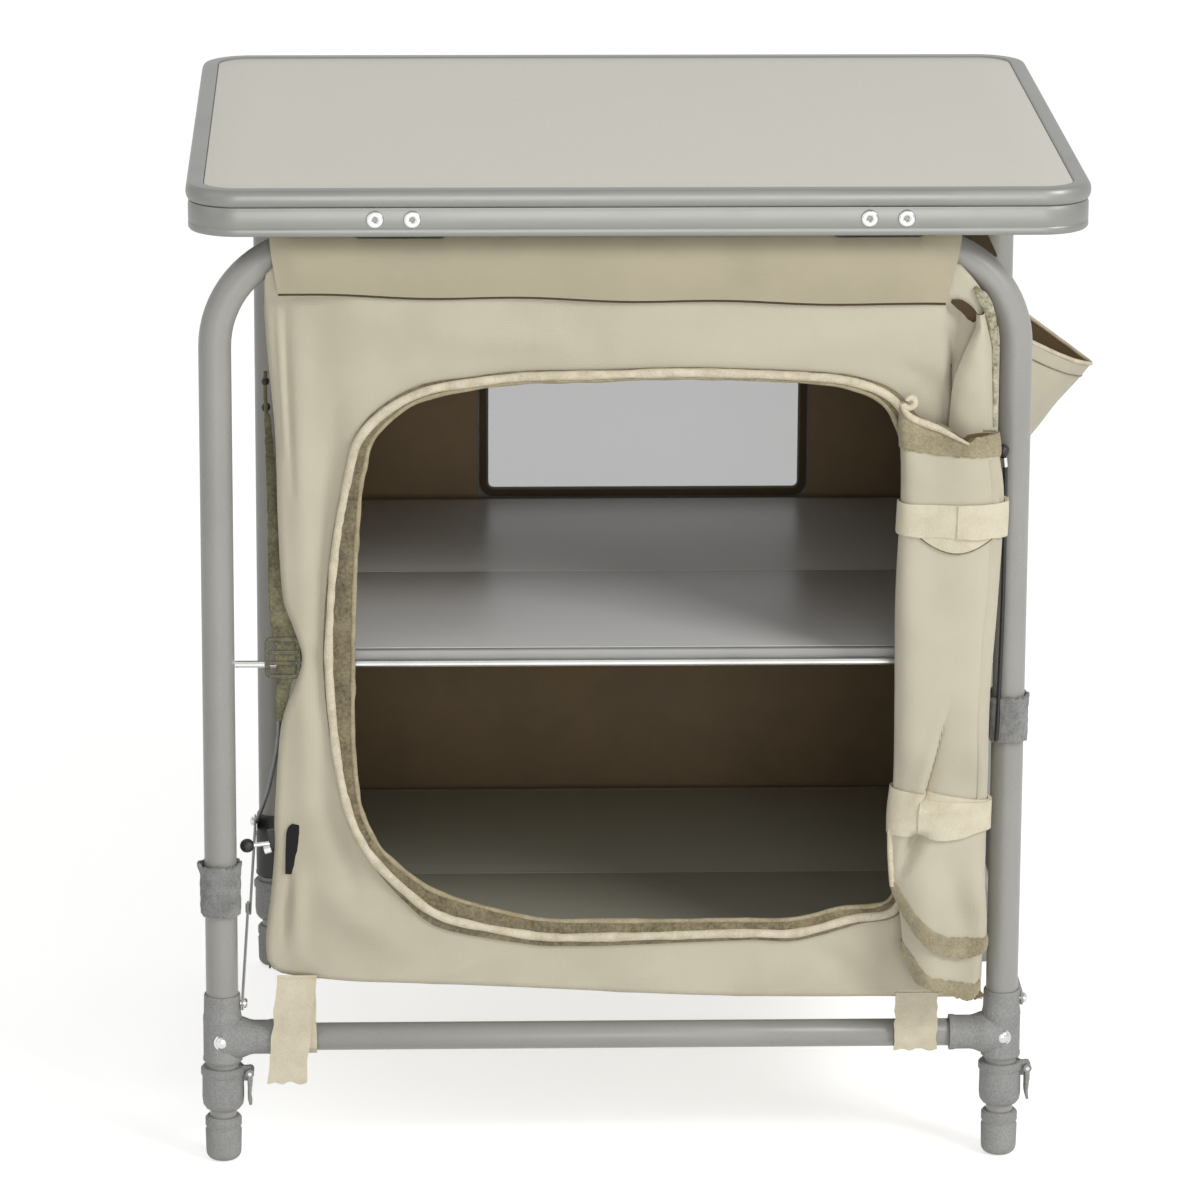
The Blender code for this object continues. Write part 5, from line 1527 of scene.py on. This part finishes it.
@dataclass
class DoorRoll:
    """Door rolled up at the right: two layers with velour hems, a cord along its top and two tapes.

    Edges are (Z, left X, right X); hem lines are (X, Z).
    """

    thick: float = 0.0016
    middle_x: float = 0.2055
    half_x: float = 0.0325
    steps_round: int = 144
    tape_thick: float = 0.0013
    edges: tuple = ((0.112, 0.18, 0.233), (0.17, 0.1785, 0.2372), (0.214, 0.1729, 0.2352),
                    (0.254, 0.1714, 0.2351), (0.283, 0.1737, 0.2358), (0.339, 0.1735, 0.236),
                    (0.408, 0.1729, 0.24), (0.474, 0.1752, 0.2425), (0.507, 0.175, 0.239),
                    (0.545, 0.175, 0.2362))
    outer_hem: Run = ((0.17, 0.213), (0.1781, 0.187), (0.1899, 0.1684), (0.2037, 0.1598), (0.2215, 0.1561),
                      (0.2384, 0.1617))
    outer_band: Run = ((0.17, 0.219), (0.1729, 0.2141), (0.1841, 0.1913), (0.1938, 0.1798), (0.2103, 0.1704),
                       (0.2375, 0.1695))
    inner_hem: Run = ((0.174, 0.159), (0.1773, 0.1507), (0.185, 0.1378), (0.2042, 0.1319), (0.2289, 0.1245),
                      (0.237, 0.129))
    inner_band: Run = ((0.174, 0.165), (0.1799, 0.1578), (0.1931, 0.1434), (0.21, 0.139), (0.2314, 0.136),
                       (0.237, 0.137))
    top_line: Run = ((0.1745, 0.5385), (0.1801, 0.5311), (0.1895, 0.5262), (0.2009, 0.5221),
                     (0.2123, 0.5166), (0.217, 0.5145), (0.2216, 0.5172), (0.236, 0.5186))
    top_band: Run = ((0.1745, 0.5105), (0.1899, 0.508), (0.2085, 0.5068), (0.2372, 0.5056))
    upper_tape: tuple[float, float] = (0.4515, 0.4745)
    lower_tape: Run = ((0.171, 0.243), (0.192, 0.243), (0.2103, 0.24), (0.2332, 0.2462), (0.241, 0.247))
    lower_tape_top: Run = ((0.171, 0.2755), (0.192, 0.274), (0.241, 0.2668))

    def height(self, line: Run, x: np.ndarray) -> np.ndarray:
        """Z of a hem line at places across the roll, smooth between its points.

        Args:
            line: (X, Z) points.
            x: places across the roll.

        Returns:
            Heights at the places.
        """
        fine = resample(line, 80)
        return np.interp(x, fine[:, 0], fine[:, 1])

    def section(self, t: np.ndarray, z: np.ndarray, grow: np.ndarray | float) -> np.ndarray:
        """Flat oval between the roll's edges, pinched at the tapes, thin at its top, with its creases.

        Args:
            t: turn round the roll; -90 degrees is its front.
            z: heights.
            grow: distance outside the roll's own face.

        Returns:
            (..., 3) points.
        """
        box = cad("door_roll")
        fine = resample(self.edges, 120)
        left, right = np.interp(z, fine[:, 0], fine[:, 1]), np.interp(z, fine[:, 0], fine[:, 2])
        a = (right - left) / 2
        upper, lower = np.mean(self.upper_tape), 0.256
        pinch = np.maximum(bell(z, upper, 0.022) * 0.4, bell(z, lower, 0.024))
        foot = smoothstep(lower - 0.012, box.low[2], z)
        head = smoothstep(0.485, 0.54, z)
        b = box.size[1] / 2 * (1 - 0.2 * pinch - 0.38 * foot - 0.55 * head)
        c, s = np.cos(t), np.sin(t)
        x = (left + right) / 2 + (a + grow) * c
        round_s = 0.5 * s + 0.5 * np.sign(s) * np.abs(s) ** 0.4
        front = smoothstep(0.0, -0.4, s)
        y = box.middle[1] + 0.006 * head + (b + grow) * round_s
        slack = 1 - pinch
        y = y - front * slack * (0.0016 * np.cos(4 * t + 9 * z) + 0.0012 * ripple(73, x, z, 0.06))
        line = 0.1915 + (z - 0.2677) * 0.2367
        wedge = smoothstep(0.348, 0.272, z) * smoothstep(0.262, 0.268, z)
        right_of = x - line
        width = 0.004 + 0.0065 * smoothstep(0.345, 0.27, z)
        fading = np.exp(-np.clip(right_of, 0, 1) / width)
        hollow = 0.0115 * wedge * smoothstep(-0.0002, 0.0008, right_of) * fading
        flap = 0.0016 * wedge * bell(right_of, -0.004, 0.004)
        under_tape = smoothstep(0.208, 0.236, z) * smoothstep(0.248, 0.242, z)
        under = 0.0105 * under_tape * bell(x, 0.1775 + (z - 0.213) * 0.4, 0.0018 + (z - 0.205) * 0.12)
        in_skirt = smoothstep(0.236, 0.205, z) * smoothstep(0.155, 0.185, z)
        valley = 0.003 * in_skirt * bell(x, 0.215 - (z - 0.2) * 0.25, 0.01)
        y = y + front * (hollow - flap + under + valley)
        return xyz(x, y, z)

    def across(self, t: np.ndarray) -> np.ndarray:
        """Nominal X at a turn round the roll."""
        return self.middle_x + self.half_x * np.cos(t)

    def turn_at(self, x: np.ndarray) -> np.ndarray:
        """Turn round the front of the roll at a nominal X."""
        return -np.arccos(np.clip((x - self.middle_x) / self.half_x, -1, 1))

    def turns(self) -> np.ndarray:
        """Column of turns once round the roll."""
        return angles(self.steps_round + 1, 0, 360)[:, None]

    def layer(self, low: Run, high: Run | float, grow: float) -> np.ndarray:
        """Grid of one layer between two lines.

        Args:
            low: lower line.
            high: upper line, or one height.
            grow: distance outside the roll's own face.

        Returns:
            (m, n, 3) grid.
        """
        t = self.turns()
        s = unit(120)
        x = self.across(t)
        bottom = self.height(low, x)
        top = self.height(high, x) if isinstance(high, tuple) else np.full(x.shape, high)
        z = bottom + (top - bottom) * s
        return self.section(t, z, grow)

    def hem(self, one: Run, other: Run, grow: float, past: float = 0.0) -> np.ndarray:
        """Grid of a band between two lines, outside its layer.

        Args:
            one: line of the hem's edge.
            other: line of its other border.
            grow: distance outside the roll's own face.
            past: how far it goes past the edge.

        Returns:
            (m, n, 3) grid.
        """
        t = self.turns()
        s = unit(10)
        x = self.across(t)
        rough = 0.0005 * ripple(71, np.cos(t) * 2, np.sin(t) * 2, 0.35)
        z = (self.height(one, x) - past) * (1 - s) + self.height(other, x) * s + rough
        crown = 0.0005 * np.sin(np.pi * s)
        return self.section(t, z, grow + crown)

    def cloth(self) -> None:
        """The two layers, their hems and the band at the top."""
        outer = self.layer(self.outer_hem, self.top_line, 0.0)
        inner = self.layer(self.inner_hem, 0.2, -0.0026)
        skin = Skin().slab(outer, self.thick, True).slab(inner, self.thick, True)
        core = self.layer(self.top_band, self.top_line, -0.004)
        skin.slab(core, self.thick, True, None, 1, 1)
        skin.piece("rolled_door_canvas", "front_frame", [CANVAS, LINING], ["door_roll"], 60,
                   Cut(0.172, 0.4, Hold.FOLDED, "upper_roll_tape"))
        hems = Skin()
        for line, border, grow, past, thick in ((self.outer_hem, self.outer_band, 0.0011, 0.0008, 0.0014),
                                                (self.inner_hem, self.inner_band, -0.0015, 0.0008, 0.0014),
                                                (self.top_line, self.top_band, 0.0012, -0.001, 0.0016)):
            hems.slab(self.hem(line, border, grow, past), thick, True)
        hems.piece("rolled_door_velour_hems", "front_frame", [VELOUR_LIGHT])

    def cords(self) -> None:
        """Pale cord along the front of the roll's top with a knot at its left, and the folded edge."""
        x = np.linspace(0.1765, 0.2165, 26)
        z = self.height(self.top_line, x) + 0.0008
        lip = self.section(self.turn_at(x), z, 0.003)
        turn = angles(30, 520, 200)
        radius = np.linspace(0.0022, 0.005, 30)
        start = lip[0]
        curl = xyz(start[0] + 0.0035 + radius * np.cos(turn), start[1] - 0.0006 - np.linspace(0.003, 0, 30),
                   start[2] + 0.0062 + radius * np.sin(turn))
        path = resample(np.concatenate([curl, lip[1:]]), 110)
        taper = np.interp(unit(110), (0, 0.06, 0.35, 0.6, 1), (0.5, 0.8, 0.85, 1.0, 0.35))
        skin = Skin().sweep(path, circle(0.0027, 10), Y_AXIS, scale=np.column_stack([taper, taper]))
        z = np.linspace(0.503, 0.262, 70)
        t = np.full(70, np.radians(-38.0))
        fold = self.section(t, z, 0.001)
        wide = widths(70, (0, 0.1, 0.7, 1), (0.5, 1.0, 0.8, 0.3))
        skin.sweep(fold, pill(0.006, 0.0016, 0.0007), Y_AXIS, 1, wide)
        low = self.section(np.full(24, np.radians(-168.0)), np.linspace(0.247, 0.206, 24), 0.0014)
        skin.sweep(low, circle(0.002, 8), Y_AXIS)
        skin.piece("rolled_door_edge_cords", "front_frame", [PIPING, CANVAS])

    def tape(self, turns: tuple[float, float], low: np.ndarray, high: np.ndarray, lift: float) -> np.ndarray:
        """Grid of a tape round part of the roll.

        Args:
            turns: first and last turn, degrees.
            low: lower edge as (X, Z) points.
            high: upper edge as (X, Z) points.
            lift: distance outside the roll.

        Returns:
            (m, n, 3) grid.
        """
        t = angles(110, *turns)[:, None]
        s = unit(12)
        x = self.across(t)
        bottom, top = np.interp(x, low[:, 0], low[:, 1]), np.interp(x, high[:, 0], high[:, 1])
        bottom = bottom + 0.0005 * ripple(81, x, x * 0, 0.012)
        z = bottom + (top - bottom) * s
        return self.section(t, z, lift)

    def border(self, left: float, right: float) -> np.ndarray:
        """Straight border of a tape between two heights at the roll's sides."""
        return np.column_stack([(0.17, 0.242), (left, right)])

    def tapes(self) -> None:
        """Upper tape with its overlapped end and sagging inner turn; lower tape in two steps."""
        low, high = self.upper_tape
        skin = Skin().slab(self.tape((-182, 150), self.border(low + 0.001, low), self.border(high, high),
                                     0.0024), self.tape_thick)
        skin.slab(self.tape((-86, 60), self.border(low + 0.0002, low - 0.0006),
                            self.border(high + 0.0002, high + 0.0004), 0.0036), self.tape_thick)
        x = np.linspace(0.1862, 0.231, 20)
        lens = np.column_stack([x, low - 0.0105 * np.abs(np.sin(np.pi * (x - x[0]) / (x[-1] - x[0]))) ** 0.9])
        skin.slab(self.tape((-126, -38), lens, self.border(low + 0.006, low + 0.006), 0.0017), 0.0011)
        skin.piece("upper_roll_tape", "front_frame", [WEBBING], ["upper_door_strap"], 60)
        edge = self.section(self.turn_at(x), lens[:, 1], 0.002)
        Skin().sweep(edge, circle(0.0006, 6), Y_AXIS).piece("upper_roll_tape_fray", "front_frame", [VELOUR])
        low, high = np.array(self.lower_tape), np.array(self.lower_tape_top)
        skin = Skin().slab(self.tape((-200, 160), low, high, 0.0022), self.tape_thick)
        step = high - (0, 0.0068) + np.outer(high[:, 0] > 0.2, (0, 0.0066))
        skin.slab(self.tape((-114, 90), low + (0, 0.0003), step, 0.0036), self.tape_thick)
        skin.piece("lower_roll_tape", "front_frame", [WEBBING], ["lower_door_strap"], 60)

    def build(self) -> None:
        """Builds the roll."""
        self.cloth()
        self.cords()
        self.tapes()


@dataclass
class SidePocket:
    """Pouch on the right wall, a tent in plan, with a hemmed mouth and a brown inside."""

    thick: float = 0.0016
    foot: float = 0.006

    def lean(self, y: np.ndarray) -> np.ndarray:
        """How far the right wall stands out past the pocket's own plane at a depth."""
        return 0.0015 + 0.008 * np.clip((np.asarray(y) + REACH_Y) / (2 * REACH_Y), 0, 1)

    def pouch(self) -> None:
        """Grid round the pouch, whose plan is a tent: reach falls from the middle of its depth to both ends.

        Every line leans out from the foot to the mouth, whose edge falls with its reach from the wall.
        """
        box = cad("side_pocket")
        reach = box.size[0] + 0.008
        half = box.size[1] / 2 - 0.001
        v = np.linspace(-1, 1, 90)[:, None]
        t = unit(44)
        lean = self.lean(half * v)
        plan = np.interp(np.abs(v), (0, 0.05, 0.2, 0.31, 0.42, 0.56, 0.75, 1),
                         (1, 0.975, 0.83, 0.67, 0.45, 0.22, 0.09, 0.03))
        foot = self.foot * (1 - v ** 6)
        slack = 0.0022 * ripple(85, v * 0.12, t * 0.12, 0.06) * np.sin(np.pi * t)
        x = box.low[0] + lean + foot + (reach * plan - foot - lean * plan) * t + slack
        y = half * v
        top = box.high[2] - 0.36 * box.size[2] * plan - 0.003 * np.sin(np.pi * np.abs(v))
        rise = 0.012 * v ** 2
        z = box.low[2] + rise + (top - box.low[2] - rise) * t
        p = xyz(x, y, z)
        outward = surface_normals(p, False)[45, 20, 0] > 0
        skin = Skin().lined(p, self.thick, False, None, outward)
        wall = p[:, 0] * (0, 1, 1)
        wall[:, 0] = box.low[0] + self.lean(wall[:, 1]) + 0.001
        skin.slab(np.stack([p[2:-2, 0], wall[2:-2]], 1), self.thick)
        back_y, back_t = cross(np.linspace(-half, half, 30), unit(20))
        back = xyz(box.low[0] + self.lean(back_y) + 0.0008, back_y,
                   box.low[2] + 0.012 + (box.high[2] - box.low[2] - 0.012) * back_t)
        skin.slab(back, 0.0012, False, None, 1, 1)
        crumple(skin.piece("pocket_pouch", "rear_frame", [CANVAS, LINING], ["side_pocket"], 60,
                           Cut(0.5, 0.15, Hold.FOLDED, "canvas_right_side_wall")))
        rim = p[:, -1] + (0, 0, -0.0008)
        seam = p[:, -5] + surface_normals(p, False)[:, -5] * (0.0011 if outward else -0.0011)
        for name, line, section, finish in (("pocket_mouth_hem", rim, circle(0.0016, 8), PIPING),
                                            ("pocket_stitching", seam, circle(0.0005, 5), VELOUR)):
            crumple(Skin().sweep(line, section, Z_AXIS).piece(name, "rear_frame", [finish]))

    def build(self) -> None:
        """Builds the pocket."""
        self.pouch()


@dataclass
class Tapes:
    """Hook tapes round the front legs and the cream straps that tie the cupboard's foot to the rail."""

    strap_feet: tuple[float, float] = (0.132, 0.119)

    def leg_tape(self, side: int) -> None:
        """Tape wound one and a quarter turns round a leg, flared at its upper edge, rough at its borders.

        Args:
            side: LEFT or RIGHT.
        """
        word = WORD[side]
        box, tube = cad(f"{word}_leg_strap"), cad("front_u_tube")
        y = tube.middle[1]
        x = float(tube.low[0] + TUBE_R if side < 0 else tube.high[0] - TUBE_R)
        t = angles(90, -120, 330)[:, None]
        s = np.linspace(-1, 1, 15)
        flare = 0.0016 * smoothstep(0.55, 1.0, s) * (1 + 0.6 * np.cos(t - 2.2))
        wound = TUBE_R + 0.0012 + 0.0011 * (t - t[0]) / np.radians(360)
        r = wound + flare + 0.0003 * ripple(91, t * 4, s * 2, 1.0)
        half = box.size[2] / 2
        z = box.middle[2] + s * half + 0.0008 * ripple(93, t * 3, t * 0, 1.2) * np.abs(s) ** 4
        p = xyz(x + r * np.cos(t), y + r * np.sin(t), z)
        Skin().slab(p, 0.0018).piece(f"{word}_leg_hook_tape", "front_frame", [HOOK_TAPE],
                                     [f"{word}_leg_strap"], 60)

    def hold_down(self, side: int) -> None:
        """Strap from the wall's foot down in front of the rail and round it, the left one with a loose end.

        Args:
            side: LEFT or RIGHT.
        """
        word = WORD[side]
        box, rail, wall = cad(f"{word}_hold_down_strap"), cad("front_rail"), cad("front_wall")
        r = rail.size[2] / 2 + 0.0012
        y, z = rail.middle[1], rail.middle[2]
        face = y - r - 0.0004
        x = float(box.middle[0])
        over = arc(y, z, r, 185, 400, 26)
        foot = self.strap_feet[side > 0]
        start = np.array([(wall.low[1] + 0.0006, foot + 0.004), (wall.low[1] - 0.0006, foot - 0.008),
                          (face - 0.0006, 0.1)])
        wrap = resample(np.concatenate([start, over[2:]]), 60)
        skin = Skin().slab(self.band(wrap, x, 0.0134, 0.0, 0.0005), 0.0013)
        low = box.low[2]
        tail = [(wall.low[1] - 0.0008, foot + 0.002), (wall.low[1] - 0.0022, foot - 0.012),
                (face - 0.0022, 0.099), (face - 0.0024, z), (face - 0.002, z - 0.008),
                (face - 0.0016, low + 0.006)]
        if side > 0:
            tail = tail[:4] + [(face - 0.0008, z - 0.007)]
        half, lean = (0.0132, 0.007) if side < 0 else (0.0146, 0.0)
        skin.slab(self.band(resample(tail, 60), x, half, lean, 0.0014), 0.0014)
        skin.piece(f"{word}_foot_strap", "front_frame", [WEBBING], [f"{word}_hold_down_strap"], 60)

    def band(self, line: np.ndarray, x: float, half: float, lean: float, fray: float) -> np.ndarray:
        """Strip carried along a line in the YZ plane, leaning to the left as it falls, with a frayed end.

        Args:
            line: (n, 2) points of Y and Z.
            x: middle of the strip.
            half: half its width.
            lean: how far its end stands to the left.
            fray: roughness of the far end and the borders.

        Returns:
            (n, k, 3) grid.
        """
        s = np.linspace(-1, 1, 41)
        t = np.linspace(0, 1, len(line))[:, None]
        edge = 1 + 0.0004 / half * ripple(97, t * 4, s * 0 + np.sign(s), 1.0) * np.abs(s) ** 3
        xs = x - lean * t + half * s * edge
        drop = -fray * (1 + ripple(99, s, s * 0, 0.55)) * smoothstep(0.9, 1.0, t)
        return xyz(xs, line[:, :1], line[:, 1:] + drop)

    def build(self) -> None:
        """Builds the four tapes."""
        for side in (LEFT, RIGHT):
            self.leg_tape(side)
            self.hold_down(side)


@dataclass
class Studio:
    """Camera at the photograph's place, soft lamps and a pale floor."""

    eye: tuple[float, float, float] = (-0.1737, -4.3055, 1.5133)
    yaw: float = 0.0364
    pitch: float = 0.266
    roll: float = 0.0048
    focal_px: float = 6300.34
    frame_px: float = 1200.0
    sensor_mm: float = 36.0
    far: float = 60.0
    aim: tuple[float, float, float] = (0, 0, 0.35)
    ambient: float = 0.42
    floor_lift: float = 0.6
    floor_drop: float = -0.0005
    floor_reach: float = 30.0

    def camera(self) -> None:
        """Camera matrix from yaw, pitch and roll in radians: columns are right, up and backward."""
        cy, sy, cp, sp = np.cos(self.yaw), np.sin(self.yaw), np.cos(self.pitch), np.sin(self.pitch)
        forward = np.array([sy * cp, cy * cp, -sp])
        right = np.array([cy, -sy, 0.0])
        up = np.cross(right, forward)
        level, tilt = np.cos(self.roll), np.sin(self.roll)
        right, up = right * level + up * tilt, up * level - right * tilt
        data = bpy.data.cameras.new("camera")
        data.sensor_width = self.sensor_mm
        data.lens = self.focal_px / self.frame_px * self.sensor_mm
        data.clip_end = self.far
        made = hang("camera", data)
        matrix = np.eye(4)
        matrix[:3, 0], matrix[:3, 1], matrix[:3, 2] = right, up, -forward
        matrix[:3, 3] = np.array(self.eye) + shelf_shift()
        made.matrix_world = Matrix(matrix.tolist())
        bpy.context.scene.camera = made

    def lamp(self, name: str, place: Sequence[float], size: float, watts: float) -> None:
        """Square area lamp that looks at the cupboard's middle.

        Args:
            name: name of the lamp.
            place: where it stands.
            size: length of its sides.
            watts: its power.
        """
        data = bpy.data.lights.new(name, "AREA")
        data.shape = "SQUARE"
        data.size = size
        data.energy = watts
        made = hang(name, data)
        back = np.array(place) - np.array(self.aim)
        back /= np.linalg.norm(back)
        right = np.cross(Z_AXIS, back)
        right /= np.linalg.norm(right)
        matrix = np.eye(4)
        matrix[:3, 0], matrix[:3, 1], matrix[:3, 2], matrix[:3, 3] = right, np.cross(back, right), back, place
        made.matrix_world = Matrix(matrix.tolist())

    def world(self) -> None:
        """Even pale surround: white to the camera and in reflections, and less as light."""
        world = bpy.data.worlds.new("studio")
        world.use_nodes = True
        tree = world.node_tree
        tree.nodes.clear()
        strength = add_node(tree, "MapRange", {0: seen_rays(tree), 3: self.ambient, 4: 1.0}).outputs[0]
        shine = add_node(tree, "Background", {"Color": (1, 1, 1, 1), "Strength": strength}).outputs[0]
        add_node(tree, "OutputWorld", {"Surface": shine})
        bpy.context.scene.world = world

    def floor(self) -> None:
        """Wide white sheet, lifted near white under the object's soft shadow for the rays that see it."""
        mat = bpy.data.materials.new("pale_studio_floor")
        mat.use_nodes = True
        tree = mat.node_tree
        shader = tree.nodes["Principled BSDF"]
        shader.inputs["Base Color"].default_value = linear("#F4F4F3")
        shader.inputs["Roughness"].default_value = 0.9
        shader.inputs["Specular IOR Level"].default_value = 0.1
        lift = add_node(tree, "MapRange", {0: seen_rays(tree), 3: 0.0, 4: self.floor_lift})
        shader.inputs["Emission Color"].default_value = (1, 1, 1, 1)
        tree.links.new(lift.outputs[0], shader.inputs["Emission Strength"])
        mesh = bpy.data.meshes.new("studio_floor")
        reach = self.floor_reach
        mesh.from_pydata([(-reach, -reach, 0), (reach, -reach, 0), (reach, reach, 0), (-reach, reach, 0)],
                         [], [(0, 1, 2, 3)])
        mesh.materials.append(mat)
        made = hang("studio_floor", mesh)
        made.location.z = self.floor_drop

    def build(self) -> None:
        """Sets up the whole studio."""
        self.camera()
        self.world()
        self.floor()
        self.lamp("key", (2.4, -2.5, 2.6), 1.3, 72)
        self.lamp("front", (0.2, -4.3, 0.8), 1.8, 46)
        self.lamp("left_fill", (-3.0, -1.8, 1.6), 2.0, 6)
        bpy.context.scene.view_settings.view_transform = "Standard"


def dress_frame_nodes(nodes: dict) -> None:
    """Gives the CAD nodes that stay their finishes.

    Args:
        nodes: node name to object.
    """
    finishes = {"bracket": PAINT, "hinge_clip": PAINT, "stay_link": PAINT, "carrier_rod": ZINC}
    for name, obj in nodes.items():
        for word, finish in finishes.items():
            if word in name:
                obj.data.materials.clear()
                obj.data.materials.append(finish.material())


def main() -> None:
    """Builds every sub-assembly around the frame and reports each piece."""
    logging.basicConfig(level=logging.INFO, format="%(name)s %(message)s")
    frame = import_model()
    Studio().build()
    dress_frame_nodes(frame["nodes"])
    TableTop().build()
    for side in (FRONT, REAR):
        TubeFrame(side).build()
    Boards().build()
    FrontWall().build()
    Cupboard().build()
    DoorRoll().build()
    SidePocket().build()
    Tapes().build()


if __name__ == "__main__":
    main()
